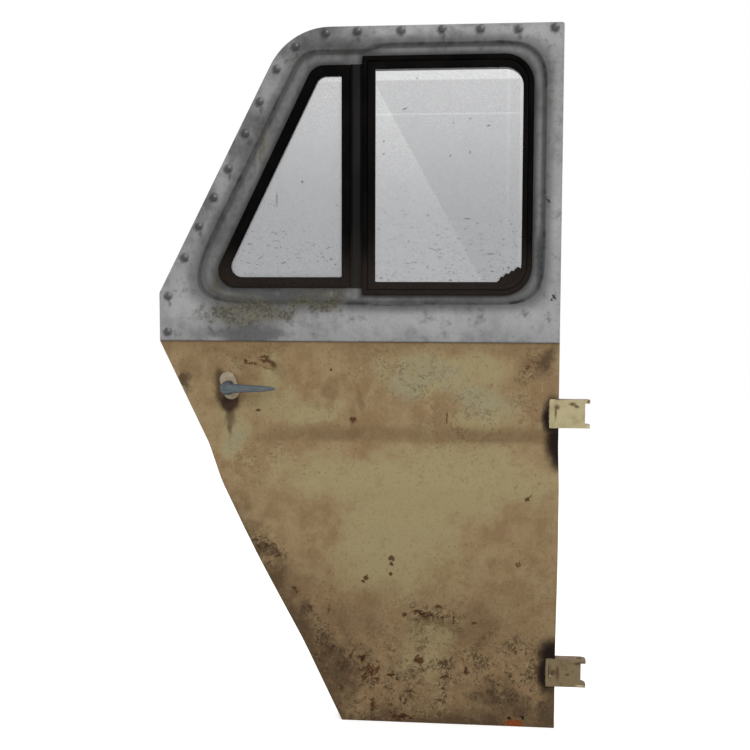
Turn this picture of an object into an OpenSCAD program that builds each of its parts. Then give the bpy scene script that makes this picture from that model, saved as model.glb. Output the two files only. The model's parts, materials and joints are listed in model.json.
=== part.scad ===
// Van cab door in millimetres: grey riveted window frame over a painted lower body.
// The outside faces -Y, the slanted windscreen edge is at -X and the hinge edge at +X, +Z is up.
// The origin is on the hinge pin axis, on the underside of the lower hinge.

/* [Door outline] */
// Height from the bottom edge to the top edge
door_h = 1300; // [1220:1:1360]
// Width from the hinge edge to the upright nose at the belt
door_w = 748.5; // [700:0.5:790]
// Length of the bottom edge
bottom_w = 402; // [360:1:440]
// Height of the belt seam above the bottom edge
belt_h = 725; // [700:1:750]
// Height of the upright nose above the belt seam
nose_h = 90; // [70:1:105]
// Width of the top edge, up to where the line of the windscreen edge meets it
top_w = 499.2; // [470:0.1:530]
// Radius of the top front corner
top_corner_r = 125; // [80:1:150]
// Radius at the foot of the windscreen edge
nose_r = 12; // [4:1:20]
// Depth of the lower body from its flat face to its inner face
lower_depth = 45; // [40:1:60]
// Depth of the window frame from its face to its inner face
upper_depth = 32; // [28:1:38]
// Thickness of the sheet
skin_t = 1.2; // [0.8:0.1:2]

/* [Shoulder pressing] */
// How far the lower body stands proud of the flat face
proud = 32; // [15:1:38]
// Drop from the belt seam to the crease
crease_drop = 193.5; // [180:0.5:215]
// Drop from the crease to the fullest point
shoulder_drop = 66; // [50:1:90]
// Height of the fullest face above the bottom edge, where it starts to fall back
fall_h = 330; // [280:1:360]
// Height above the bottom edge where the face is flat again
foot_h = 154; // [150:1:175]
// Radius of the crease
crease_r = 14; // [5:1:30]
// Radius of the shoulder
shoulder_r = 55; // [30:1:80]
// Radius of the slow bend where the face falls back
belly_r = 520; // [300:10:600]
// Radius of the bend where the face is flat again
foot_r = 180; // [100:10:220]

/* [Window pressing] */
// Margin from the hinge edge to the pressed step
step_rear = 30.5; // [26:0.5:36]
// Margin from the top edge to the pressed step over the sash
step_top = 32.5; // [28:0.5:38]
// Drop of the step over the quarter light
step_drop = 10; // [6:1:14]
// Margin from the windscreen edge to the pressed step
step_front = 41; // [36:1:48]
// Height of the pressed step above the belt seam
step_bottom = 71; // [62:1:78]
// Depth of the pressed step
step_d = 8; // [6.5:0.5:10]
// Width of the slope of the pressed step
step_slope = 6; // [3:0.5:8]
// Radius of the step at the hinge side
step_r = 62; // [40:1:80]
// Radius of the step at the top of the windscreen side
step_front_r = 46; // [25:1:60]
// Radius of the step at the foot of the windscreen side
step_low_r = 58; // [20:1:70]
// Height of the window hole above the belt seam
hole_bottom = 106.5; // [104:0.5:109]
// Margin from the top edge to the window hole
hole_top = 73.5; // [70:0.5:75]
// Radius of the window hole at the hinge side
hole_r = 38; // [20:1:44]
// Radius of the window hole at the windscreen side
hole_front_r = 26; // [15:1:32]

/* [Quarter light] */
// Margin from the top edge to the quarter glass that shows
quarter_top = 87.5; // [84:0.5:92]
// Distance from the windscreen edge to the glass that shows, along its bottom edge
quarter_front = 109.3; // [106:0.1:116]
// Distance from the windscreen edge to the glass that shows, along its top edge
quarter_front_top = 101.3; // [98:0.1:108]
// Width of the quarter glass that shows, along its top edge
quarter_top_w = 40.2; // [38:0.1:46]
// Corner radius of the glass that shows
quarter_r = 20; // [10:1:28]
// Width of the rubber over the sheet and the glass edge
seal_w = 20; // [18:0.5:22]
// Height of the glass above the belt seam
quarter_bottom = 120; // [118:0.5:124]
// Width of the rubber at the post
seal_post = 16.5; // [15:0.5:18]
// Thickness of both glasses
glass_t = 4; // [3:0.5:4.5]
// How far the rubber holds the glass edge
glass_grip = 6; // [4:0.5:6]
// How far the front lip of the rubber laps the sheet
seal_lip = 7; // [5:0.5:9]
// Depth of the front lip of the rubber
lip_d = 6; // [4:0.5:6]
// Depth of the rubber behind the glass
seal_back = 5; // [3:0.5:8]

/* [Sash] */
// Margin from the top edge to the sash run
sash_top = 53; // [50:0.5:56]
// Height of the sash run above the belt seam
sash_bottom = 87; // [82:0.5:90]
// Distance from the hinge edge to the sash run
sash_rear = 52; // [46:0.5:56]
// Border of the sash at the post, the top and the bottom
sash_border = 24.5; // [22:0.5:28]
// Border of the sash at the hinge side
sash_rear_border = 19.5; // [17:0.5:24]
// Corner radius of the run at the hinge side
sash_r = 54; // [40:1:65]
// Width of the run that holds the sash
run_w = 10; // [7:0.5:12]
// Depth of the rubber that lines the hole behind the sash
lining_d = 14; // [8:1:18]
// Thickness of that rubber
lining_t = 4; // [3:0.5:5]
// Width of the post between the two windows
post_w = 22; // [20:0.5:24]
// Thickness of the web of the post
post_web = 8; // [6:0.5:10]

/* [Hinges] */
// Distance from the pin axis to the hinge edge of the door
edge_gap = 44.5; // [38:0.5:60]
// Distance from the pin axis back to the flat face of the door
pin_inset = 8; // [7:0.5:10]
// Height of each hinge
hinge_h = 52; // [46:1:60]
// Drop from the belt seam to the underside of the upper hinge
upper_hinge_drop = 155.8; // [140:0.1:170]
// Height of the lower hinge above the bottom edge
hinge_drop = 81.5; // [70:0.5:100]
// Thickness of each ear
ear_t = 6.5; // [5:0.5:9]
// Radius of the pin bore
pin_r = 5; // [4:0.5:6]
// Distance from the pin axis to the end of an ear
ear_reach = 12; // [9:0.5:14]
// Length of the lip on the face of the door
lip_l = 17; // [12:0.5:24]
// Thickness of the hinge plate
hinge_t = 3; // [2.5:0.5:4]
// Cut-back of the plate from the end of the ears
plate_cut = 9; // [7:0.5:11]

/* [Handle and latch] */
// Distance from the cut-away front edge to the handle spindle
handle_front = 92.7; // [86:0.1:110]
// Distance from the belt seam down to the handle spindle
handle_drop = 86.5; // [80:0.5:92]
// Length of the outer lever from the spindle to its tip
lever_l = 92; // [75:1:110]
// Width of the outer lever at its root
lever_w = 18; // [14:0.5:21]
// Thickness of the outer lever
lever_t = 9; // [7:0.5:12]
// Radius of the lever hub
hub_r = 12; // [11:0.5:14]
// Thickness of the rose under the outer lever
rose_t = 7; // [5:0.5:9]
// Half width of the rose
rose_r = 16; // [13:0.5:18]
// Half of the distance between the two ends of the oval rose
rose_half = 11; // [6:0.5:14]
// Tilt of the oval rose, in degrees
rose_tilt = 17; // [0:1:26]
// Stand-off of the outer lever from the skin
lever_off = 24; // [18:1:32]
// Radius of the spindle
spindle_r = 5; // [4:0.5:6]
// Running clearance round the spindle
spindle_gap = 0.5; // [0.3:0.1:1]
// Length of the inner lever
inner_lever_l = 96; // [80:1:110]
// Length of the spindle behind the inner rose
inner_off = 22; // [18:1:28]
// Radius of the inner rose
inner_rose_r = 19; // [16:0.5:22]
// Thickness of the inner rose
inner_rose_t = 4; // [3:0.5:6]
// Reach of the latch case past the spindle
latch_side = 28; // [20:1:36]
// Height of the latch case over the spindle
latch_high = 32; // [26:1:36]
// Depth of the latch case below the spindle
latch_low = 34; // [26:1:40]
// Depth of the latch case
latch_d = 33; // [26:1:38]
// Height of the latch bolt
bolt_h = 20; // [14:1:24]
// Thickness of the latch bolt
bolt_t = 14; // [10:1:16]
// How far the bolt stands out of the edge at its middle, below zero where it is drawn back
bolt_out = -5; // [-6:1:14]
// Length of the bolt inside the latch case
bolt_in = 12; // [8:1:20]
// Play round the bolt in the case and in the edge
bolt_gap = 0.3; // [0.2:0.1:0.8]

/* [Inner frame] */
// Width of the channels round the lower body
rail_w = 46; // [40:1:52]
// Gap between the outer skin and the channels
rail_gap = 6; // [3:1:10]
// Overlap of the inner panel on the channels
panel_lap = 26; // [16:1:34]
// Distance from the belt seam down to the dished field of the inner panel
dish_drop = 145; // [140:1:160]
// Margin from the door edge to the dished field
dish_edge = 62; // [58:1:70]
// Depth of the dished field
dish_d = 6; // [4:0.5:9]
// Corner radius of the dished field
dish_r = 30; // [15:1:45]
// Corner radius of the inner panel
panel_r = 12; // [6:1:20]
// Width of the service cover
cover_w = 150; // [110:1:170]
// Height of the service cover
cover_h = 120; // [90:1:140]
// Overlap of the service cover on the panel
cover_lap = 15; // [10:1:25]
// Distance from the dished field's edge to the lower front corner of the service cover
cover_margin = 18; // [6:1:30]
// Distance from the top of the dished field to the service cover
cover_drop = 72; // [20:1:120]
// Corner radius of the service cover
cover_r = 10; // [5:1:20]

/* [Hidden] */
$fn = 48;
// Bend of one step of a rounded corner, in degrees
arc_step = 7;
// How far a cut reaches past the surface it opens
over = 1;
open_side = 20;

// Reference planes and heights
face_y = -pin_inset;
x_rear = -edge_gap;
z_bottom = -hinge_drop;
z_top = z_bottom + door_h;
z_belt = z_bottom + belt_h;
z_crease = z_belt - crease_drop;
x_nose = x_rear - door_w;
z_nose = z_belt + nose_h;

// Outlines as corners [x, z, radius], counter-clockwise when seen from outside
lower_outline = [[x_rear, z_bottom, 4], [x_rear, z_belt, 0], [x_nose, z_belt, 0],
  [x_rear - bottom_w, z_bottom, 4]];
upper_outline = [[x_rear, z_belt, 0], [x_rear, z_top, 4], [x_rear - top_w, z_top, top_corner_r],
  [x_nose, z_nose, nose_r], [x_nose, z_belt, 0]];

// Cross-section of the lower face as corners [y, z, radius], open towards the inside
function lower_profile(grow) = [[face_y + lower_depth + grow, z_bottom - grow, 0],
  [face_y + lower_depth + grow, z_belt + grow, 0],
  [face_y, z_belt + grow, 0],
  [face_y, z_crease, crease_r],
  [face_y - proud, z_crease - shoulder_drop, shoulder_r],
  [face_y - proud, z_bottom + fall_h, belly_r],
  [face_y, z_bottom + foot_h, foot_r],
  [face_y, z_bottom - grow, 0]];

// Window outlines
small_r = 3;
z_quarter = z_belt + quarter_bottom;
z_quarter_top = z_top - quarter_top;
x_slant_top = slant_x(upper_outline, z_quarter_top) + quarter_front_top;
x_slant_foot = slant_x(upper_outline, z_quarter) + quarter_front;
x_quarter = x_slant_top + quarter_top_w;
quarter_day = [[x_quarter, z_quarter, small_r], [x_quarter, z_quarter_top, small_r],
  [x_slant_top, z_quarter_top, quarter_r], [x_slant_foot, z_quarter, quarter_r]];
x_post = x_quarter + seal_post + post_w / 2;
x_sash = x_post + post_w / 2;
x_run = x_rear - sash_rear;
sash_outer = [[x_run, z_belt + sash_bottom, sash_r], [x_run, z_top - sash_top, sash_r],
  [x_sash, z_top - sash_top, small_r], [x_sash, z_belt + sash_bottom, small_r]];
sash_day = [[sash_outer[0][0] - sash_rear_border, sash_outer[0][1] + sash_border, sash_r - sash_border + 4],
  [sash_outer[1][0] - sash_rear_border, sash_outer[1][1] - sash_border, sash_r - sash_border + 4],
  [sash_outer[2][0] + sash_border, sash_outer[2][1] - sash_border, 2],
  [sash_outer[3][0] + sash_border, sash_outer[3][1] + sash_border, 2]];
z_hole = z_belt + hole_bottom;
z_hole_top = z_top - hole_top;
hole_front_line = inset(quarter_day, seal_lip - seal_w);
x_hole = sash_day[0][0] + glass_grip;
window_hole = [[x_hole, z_hole, hole_r], [x_hole, z_hole_top, hole_r],
  [slant_x(hole_front_line, z_hole_top), z_hole_top, hole_front_r],
  [slant_x(hole_front_line, z_hole), z_hole, hole_front_r]];
seal_outer = with_radius(inset(quarter_day, -seal_w), quarter_r + seal_w * 0.6);
z_step = z_belt + step_bottom;
z_step_top = z_top - step_top;
sash_step = [[x_rear - step_rear, z_step, step_r], [x_rear - step_rear, z_step_top, step_r],
  [x_sash + step_slope, z_step_top, step_d + small_r], [x_sash + step_slope, z_step, 0]];
front_step_line = inset(upper_outline, step_front);
quarter_step = [[x_sash + step_r, z_step, 0], [x_sash + step_r, z_step_top - step_drop, 0],
  [slant_x(front_step_line, z_step_top - step_drop), z_step_top - step_drop, step_front_r],
  [slant_x(front_step_line, z_step), z_step, step_low_r]];

// Depths behind the flat face
band_back = step_d + skin_t;
quarter_glass_d = band_back;
sash_front = 1.5;
sash_glass_d = (step_d + sash_front - glass_t) / 2;

// Dished field of the inner panel
z_dish = z_belt - dish_drop;
dish_line = inset(lower_outline, dish_edge);
dish = with_radius([dish_line[0], [dish_line[1][0], z_dish], [slant_x(dish_line, z_dish), z_dish],
  dish_line[3]], dish_r);

// Hinge and handle places
z_upper_hinge = z_belt - upper_hinge_drop;
lip_x = x_rear - lip_l;
rose_back = lower_depth + skin_t + inner_rose_t;
cap_t = 4;
inner_back = rose_back + inner_off;
inner_end = inner_back + cap_t;
bolt_tip = 4;
edge_plate_t = 4;
edge_plate_cut = 6;
backing_t = 3;
backing_lap = 8;
groove_r = 1;
plate_front = face_y - hinge_t;
handle_z = z_belt - handle_drop;
handle_x = lower_front_x(handle_z) + handle_front;
bolt_x = lower_front_x(handle_z) - bolt_out;

// Half height of the tip of the outer lever, and the place along the lever where its leaf narrows
tip_h = 1.5;
waist_place = 0.62;
waist_share = 0.43;

// Length, width and depth behind the face of the drain slots
slot_l = 24;
slot_w = 6;
slot_d = 12;

// Point of a corner, without its radius
function xz(c) = [c[0], c[1]];
function unit(a, b) = (b - a) / norm(b - a);
function left_of(u) = [-u[1], u[0]];
function turned(p, a) = [p[0] * cos(a) - p[1] * sin(a), p[0] * sin(a) + p[1] * cos(a)];
function with_radius(c, r) = [for (p = c) [p[0], p[1], r]];

// Outline moved inwards by d, or outwards where d is below zero
function inset(c, d) = [for (i = [0:len(c) - 1])
  let (n = len(c), q = xz(c[i]), u = unit(xz(c[(i + n - 1) % n]), q), v = unit(q, xz(c[(i + 1) % n])),
    m = q + (left_of(u) + left_of(v)) * d / (1 + left_of(u) * left_of(v)),
    r = c[i][2])
  [m[0], m[1], r == 0 ? 0 : max(0.5, cross(u, v) > 0 ? r - d : r + d)]];

// Points of an outline whose corners are rounded to their radii
function rounded(c) = [for (i = [0:len(c) - 1])
  let (n = len(c), q = xz(c[i]), u = unit(xz(c[(i + n - 1) % n]), q), v = unit(q, xz(c[(i + 1) % n])),
    bend = atan2(cross(u, v), u * v), r = c[i][2], side = bend > 0 ? 1 : -1,
    start = q - u * r * tan(abs(bend) / 2), centre = start + left_of(u) * r * side,
    steps = max(2, ceil(abs(bend) / arc_step)))
  each r == 0 ? [q] : [for (k = [0:steps]) centre + turned(-left_of(u) * r * side, bend * k / steps)]];

// Place of the slanted front edge of an outline at a height, between its third and fourth corners
function slant_x(c, z) = c[3][0] + (c[2][0] - c[3][0]) * (z - c[3][1]) / (c[2][1] - c[3][1]);
// Front edge of the lower body at a height
function lower_front_x(z) = x_nose + (z_belt - z) / (z_belt - z_bottom) * (door_w - bottom_w);

// Slab with an outline in X and Z, between two depths behind the flat face
module slab(points, d0, d1) {
  translate([0, face_y + d1, 0]) rotate([90, 0, 0]) linear_extrude(d1 - d0) polygon(points);
}

// Ring between two outlines, between two depths
module ring(outer, inner, d0, d1) {
  difference() {
    slab(outer, d0, d1);
    slab(inner, d0 - over, d1 + over);
  }
}

// Bar along the whole width with a cross-section in Y and Z
module lengthwise(points) {
  translate([x_nose - over, 0, 0]) rotate([90, 0, 90]) linear_extrude(door_w + 2 * over) polygon(points);
}

// Round hole or rod along Y, between two depths
module along_y(x, z, r, d0, d1) {
  translate([x, face_y + d1, z]) rotate([90, 0, 0]) cylinder(r = r, h = d1 - d0);
}

// Solid between two outlines with as many points, one at each depth
module loft(a, da, b, db) {
  n = len(a);
  polyhedron(
    points = concat([for (p = a) [p[0], face_y + da, p[1]]], [for (p = b) [p[0], face_y + db, p[1]]]),
    faces = concat([[for (i = [n - 1:-1:0]) i], [for (i = [n:2 * n - 1]) i]],
      [for (i = [0:n - 1]) each let (j = (i + 1) % n) [[i, j, n + j], [i, n + j, n + i]]]));
}

// Slam bolt, bevelled on the side that meets the striker and drawn back into the edge, with play all round
module bolt_shape(play, bevel, x_start = bolt_x) {
  y_mid = face_y + lower_depth - latch_d / 2;
  x_end = slant_x(inset(lower_outline, rail_w), handle_z) + bolt_in + play;
  translate([0, 0, handle_z - bolt_h / 2 - play]) linear_extrude(bolt_h + 2 * play)
    polygon([[x_start, y_mid - bolt_t / 2 - play], [x_end, y_mid - bolt_t / 2 - play],
      [x_end, y_mid + bolt_t / 2 + play], [x_start + bevel, y_mid + bolt_t / 2 + play],
      [x_start, y_mid + bolt_t / 2 + play - bevel]]);
}

// Slots that let water out of the bottom edge
module drain_slots() {
  for (k = [1:3])
    translate([x_rear - bottom_w * k / 4 - slot_l / 2, face_y + slot_d, z_bottom - over])
      cube([slot_l, slot_w, 2 * skin_t + 2 * over]);
}

module lower_skin() color("darkkhaki") difference() {
  intersection() {
    slab(rounded(lower_outline), -proud - over, lower_depth);
    lengthwise(rounded(lower_profile(0)));
  }
  intersection() {
    slab(rounded(inset(lower_outline, skin_t)), -proud - over, lower_depth + over);
    lengthwise(rounded(inset(lower_profile(open_side), skin_t)));
  }
  along_y(handle_x, handle_z, spindle_r + 2, -over, skin_t + over);
  bolt_shape(bolt_gap, 0, bolt_x - bolt_h);
  drain_slots();
}

// Sloped recess from one depth to another, grown sideways by a wall
module recess(c, d0, d1, wall) {
  function at(d) = rounded(inset(c, d * step_slope / step_d - wall));
  loft(at(d0), d0, at(d1), d1);
}

module upper_skin() color("darkgray") difference() {
  back_wall = skin_t * (step_slope / step_d + 0.5);
  union() {
    difference() {
      slab(rounded(upper_outline), 0, upper_depth);
      slab(rounded(inset(upper_outline, skin_t)), skin_t, upper_depth + over);
    }
    recess(sash_step, 0, band_back, back_wall);
    recess(quarter_step, 0, band_back, back_wall);
  }
  recess(sash_step, -over, step_d, 0);
  recess(quarter_step, -over, step_d, 0);
  slab(rounded(window_hole), -over, band_back + over);
}

module window_inner_frame() color("gray") difference() {
  union() {
    slab(rounded(inset(upper_outline, skin_t)), upper_depth - skin_t, upper_depth);
    slab(rounded(inset(window_hole, -skin_t)), band_back, upper_depth);
  }
  slab(rounded(window_hole), band_back - over, upper_depth + over);
}

// Channel behind one edge of the lower body, open towards the outer skin; its ends are mitred
module edge_channel(i) {
  j = (i + 1) % 4;
  a = inset(lower_outline, skin_t);
  b = inset(lower_outline, rail_w);
  wall_a = inset(lower_outline, 2 * skin_t);
  wall_b = inset(lower_outline, rail_w - skin_t);
  u = unit(xz(a[i]), xz(a[j])) * rail_w;
  difference() {
    intersection() {
      slab([xz(lower_outline[i]), xz(lower_outline[j]), xz(b[j]), xz(b[i])], rail_gap, lower_depth);
      slab(rounded(a), 0, lower_depth);
    }
    slab([xz(wall_a[i]) - u, xz(wall_a[j]) + u, xz(wall_b[j]) + u, xz(wall_b[i]) - u], rail_gap - over,
      lower_depth - skin_t);
  }
}

module hinge_stile() color("dimgray") edge_channel(0);

module belt_rail() color("dimgray") edge_channel(1);

module lower_front_rail() color("dimgray") difference() {
  edge_channel(2);
  bolt_shape(bolt_gap, 0);
}

module bottom_rail() color("dimgray") difference() {
  edge_channel(3);
  drain_slots();
}

module inner_panel() color("silver") {
  lap = with_radius(inset(lower_outline, rail_w - panel_lap), panel_r);
  difference() {
    union() {
      slab(rounded(lap), lower_depth, lower_depth + skin_t);
      slab(rounded(dish), lower_depth - dish_d, lower_depth + skin_t);
    }
    slab(rounded(inset(dish, skin_t)), lower_depth - dish_d + skin_t, lower_depth + skin_t + over);
    slab(rounded(cover_outline(-cover_lap)), lower_depth - dish_d - over, lower_depth);
    along_y(handle_x, handle_z, spindle_r + 2, lower_depth - over, lower_depth + skin_t + over);
  }
}

// Service cover outline, grown by a margin
function cover_outline(grow) = let (z1 = z_dish - cover_drop, z0 = z1 - cover_h,
    x0 = slant_x(dish, z0) + skin_t + cover_margin, x1 = x0 + cover_w)
  with_radius([[x1 + grow, z0 - grow], [x1 + grow, z1 + grow], [x0 - grow, z1 + grow],
    [x0 - grow, z0 - grow]], cover_r);

module service_cover() color("silver")
  slab(rounded(cover_outline(0)), lower_depth - dish_d + skin_t, lower_depth - dish_d + 2 * skin_t);

module quarter_glass() color([0.8, 0.85, 0.85, 0.5])
  slab(rounded(inset(quarter_day, -glass_grip)), quarter_glass_d, quarter_glass_d + glass_t);

module quarter_seal() color("black") difference() {
  union() {
    intersection() {
      slab(rounded(seal_outer), step_d - lip_d, step_d);
      left_part(x_post - post_w / 2);
    }
    intersection() {
      slab(rounded(window_hole), step_d, quarter_glass_d + glass_t + seal_back);
      left_part(x_post - post_web / 2);
    }
  }
  slab(rounded(quarter_day), 0, upper_depth);
  slab(rounded(inset(quarter_day, -glass_grip)), quarter_glass_d, quarter_glass_d + glass_t);
}

// Everything in front of the window rubber, left of a line
module left_part(x) {
  translate([x_nose, face_y - over, z_belt]) cube([x - x_nose, upper_depth + 2 * over, door_h - belt_h]);
}

module right_part(x) {
  translate([x, face_y - over, z_belt]) cube([x_rear - x, upper_depth + 2 * over, door_h - belt_h]);
}

module division_post() color("black") {
  foot = with_radius([[x_post + post_w / 2, seal_outer[0][1]], [x_post + post_w / 2, seal_outer[1][1]],
    [x_post - post_w / 2, seal_outer[1][1]], [x_post - post_w / 2, seal_outer[0][1]]], small_r);
  slab(rounded(foot), step_d - lip_d * 0.6, step_d);
  translate([x_post - post_web / 2, face_y + step_d, z_hole])
    cube([post_web, upper_depth - step_d, z_hole_top - z_hole]);
}

module sash_run() color("black") {
  ring(rounded(sash_outer), rounded(inset(sash_outer, run_w)), 0, step_d);
  intersection() {
    ring(rounded(window_hole), rounded(inset(window_hole, lining_t)), step_d, step_d + lining_d);
    right_part(x_post + post_web / 2);
  }
}

module sash_frame() color("black") difference() {
  slab(rounded(inset(sash_outer, run_w)), sash_front, step_d);
  slab(rounded(sash_day), 0, step_d + over);
  slab(rounded(inset(sash_day, -glass_grip)), sash_glass_d, sash_glass_d + glass_t);
}

module sash_glass() color([0.8, 0.85, 0.85, 0.5])
  slab(rounded(inset(sash_day, -glass_grip)), sash_glass_d, sash_glass_d + glass_t);

// Pressed plate with a lip on the skin and two bored ears, at height z
module hinge_arm(z) {
  difference() {
    union() {
      translate([lip_x, plate_front, z]) cube([ear_reach - plate_cut - lip_x, hinge_t, hinge_h]);
      for (level = [z, z + hinge_h - ear_t])
        translate([0, 0, level]) linear_extrude(ear_t)
          polygon(rounded([[x_rear, plate_front, 0], [ear_reach, plate_front, 0],
            [ear_reach, ear_reach, ear_reach * 0.8], [x_rear, ear_reach, 0]]));
    }
    translate([0, 0, z - over]) cylinder(r = pin_r, h = hinge_h + 2 * over);
    translate([lip_x + lip_l * 0.55, plate_front, z + hinge_h * 0.2])
      cylinder(r = groove_r, h = hinge_h * 0.6);
  }
}

// Plate on the hinge edge, between the ears
module edge_plate(z) {
  translate([x_rear, face_y, z + ear_t])
    cube([edge_plate_t, lower_depth - edge_plate_cut, hinge_h - 2 * ear_t]);
}

// Plate inside the stile that the hinge bolts pull against
module backing_plate(z) {
  translate([x_rear - 2 * skin_t - backing_t, face_y + rail_gap + skin_t, z - backing_lap])
    cube([backing_t, lower_depth - 2 * skin_t - rail_gap, hinge_h + 2 * backing_lap]);
}

module upper_hinge_arm() color("tan") hinge_arm(z_upper_hinge);

module upper_hinge_edge_plate() color("tan") edge_plate(z_upper_hinge);

module upper_hinge_backing() color("dimgray") backing_plate(z_upper_hinge);

module lower_hinge_arm() color("saddlebrown") hinge_arm(0);

module lower_hinge_edge_plate() color("saddlebrown") edge_plate(0);

module lower_hinge_backing() color("dimgray") backing_plate(0);

// Domed oval rose under the outer lever, tilted like the lower front edge
module outer_escutcheon() color("tan") difference() {
  translate([handle_x, face_y, handle_z + small_r]) rotate([90, 0, 0]) hull() for (s = [-1, 1])
    rotate([0, 0, rose_tilt]) translate([0, rose_half * s, 0]) rotate_extrude($fn = 32)
      polygon([[0, 0], [rose_r, 0], [rose_r, rose_t * 0.3], [rose_r * 0.85, rose_t * 0.75],
        [rose_r * 0.6, rose_t], [0, rose_t]]);
  along_y(handle_x, handle_z, spindle_r + spindle_gap, -rose_t - over, over);
}

// Faceted hub with a leaf-shaped lever that curves out and thins towards its tip
module outer_lever() color("slategray") {
  y_back = face_y - lever_off;
  x_tip = handle_x + lever_l;
  x_waist = handle_x + lever_l * waist_place;
  x_bend = handle_x + lever_l * 0.5;
  root = lever_w / 2;
  waist = lever_w * waist_share;
  leaf = [[handle_x, handle_z - root, 0], [x_waist, handle_z - waist, lever_l],
    [x_tip, handle_z - tip_h, 1], [x_tip, handle_z + tip_h, 1],
    [x_waist, handle_z + waist, lever_l], [handle_x, handle_z + root, 0]];
  sweep = [[handle_x, y_back, 0], [handle_x, y_back - lever_t, 0], [x_bend, y_back - lever_t * 1.3, lever_l],
    [x_tip, y_back - lever_t * 0.9, 1.5], [x_tip, y_back - lever_t * 0.4, 1],
    [x_bend, y_back - lever_t * 0.3, lever_l]];
  difference() {
    union() {
      translate([handle_x, face_y - rose_t - over, handle_z]) rotate([90, 22.5, 0])
        cylinder(r = hub_r, h = lever_off + lever_t - rose_t - over, $fn = 8);
      intersection() {
        slab(rounded(leaf), -lever_off - 2 * lever_t, -lever_off + over);
        translate([0, 0, handle_z - lever_w]) linear_extrude(2 * lever_w) polygon(rounded(sweep));
      }
    }
    along_y(handle_x, handle_z, spindle_r, -lever_off, 0);
  }
}

module handle_spindle() color("silver")
  along_y(handle_x, handle_z, spindle_r, -lever_off, inner_back);

module inner_escutcheon() color("silver") difference() {
  along_y(handle_x, handle_z, inner_rose_r, lower_depth + skin_t, rose_back);
  along_y(handle_x, handle_z, spindle_r + spindle_gap, lower_depth, rose_back + over);
}

module inner_lever() color("slategray") {
  tip_r = lever_w * 0.45;
  tip_x = handle_x + inner_lever_l - tip_r;
  difference() {
    union() {
      along_y(handle_x, handle_z, hub_r, rose_back + over, inner_end);
      slab([[handle_x, handle_z - hub_r * 0.9], [tip_x, handle_z - tip_r], [tip_x, handle_z + tip_r],
        [handle_x, handle_z + hub_r * 0.9]], inner_end - lever_t, inner_end);
      along_y(tip_x, handle_z, tip_r, inner_end - lever_t, inner_end);
    }
    along_y(handle_x, handle_z, spindle_r, lower_depth, inner_back);
  }
}

module latch_case() color("gray") difference() {
  edge = inset(lower_outline, rail_w);
  z0 = handle_z - latch_low;
  z1 = handle_z + latch_high;
  slab([[slant_x(edge, z0), z0], [handle_x + latch_side, z0], [handle_x + latch_side, z1],
    [slant_x(edge, z1), z1]], lower_depth - latch_d, lower_depth);
  along_y(handle_x, handle_z, spindle_r + spindle_gap, 0, lower_depth + over);
  bolt_shape(bolt_gap, 0);
}

module latch_bolt() color("silver") bolt_shape(0, bolt_t - bolt_tip);

lower_skin();
upper_skin();
window_inner_frame();
hinge_stile();
belt_rail();
lower_front_rail();
bottom_rail();
inner_panel();
service_cover();
quarter_glass();
quarter_seal();
division_post();
sash_run();
sash_frame();
sash_glass();
upper_hinge_arm();
upper_hinge_edge_plate();
upper_hinge_backing();
lower_hinge_arm();
lower_hinge_edge_plate();
lower_hinge_backing();
outer_escutcheon();
outer_lever();
handle_spindle();
inner_escutcheon();
inner_lever();
latch_case();
latch_bolt();
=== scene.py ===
"""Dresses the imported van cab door: pressed skins, window rubbers, rivets, hinges, handle, inner side and old paint.

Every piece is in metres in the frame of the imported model: the outside faces -Y, the hinge edge is at +X, +Z is up.
"""

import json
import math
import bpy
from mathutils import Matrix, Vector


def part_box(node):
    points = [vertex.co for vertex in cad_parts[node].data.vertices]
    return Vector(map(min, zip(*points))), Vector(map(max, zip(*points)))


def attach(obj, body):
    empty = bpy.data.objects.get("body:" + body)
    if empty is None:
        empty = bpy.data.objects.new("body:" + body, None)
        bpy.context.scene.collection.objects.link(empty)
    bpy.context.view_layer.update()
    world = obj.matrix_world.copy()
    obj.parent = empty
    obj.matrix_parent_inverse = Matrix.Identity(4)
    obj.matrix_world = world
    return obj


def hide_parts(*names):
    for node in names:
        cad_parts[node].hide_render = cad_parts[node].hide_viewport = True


bl_info = {
    "name": "Van cab door",
    "version": (1, 0, 0),
    "blender": (4, 5, 0),
    "location": "3D View > Sidebar > Van door",
    "description": "Pressed skins, window rubbers, rivets, hinges, handle and old paint for a van cab door",
    "category": "Object",
}

import bpy
from mathutils import Matrix, Vector, geometry, noise

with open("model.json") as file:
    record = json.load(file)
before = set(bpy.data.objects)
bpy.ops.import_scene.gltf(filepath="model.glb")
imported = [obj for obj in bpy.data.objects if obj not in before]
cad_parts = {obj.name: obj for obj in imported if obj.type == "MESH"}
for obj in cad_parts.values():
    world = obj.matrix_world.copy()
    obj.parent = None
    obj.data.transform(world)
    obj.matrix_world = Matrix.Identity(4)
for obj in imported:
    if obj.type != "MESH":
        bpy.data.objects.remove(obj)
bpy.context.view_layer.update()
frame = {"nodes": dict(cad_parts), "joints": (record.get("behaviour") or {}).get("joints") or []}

MM = 0.001
ARC_STEP = math.radians(6)


def box(node):
    """The low and the high corner of a CAD node's box."""
    return [Vector(corner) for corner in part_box(node)]


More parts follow.
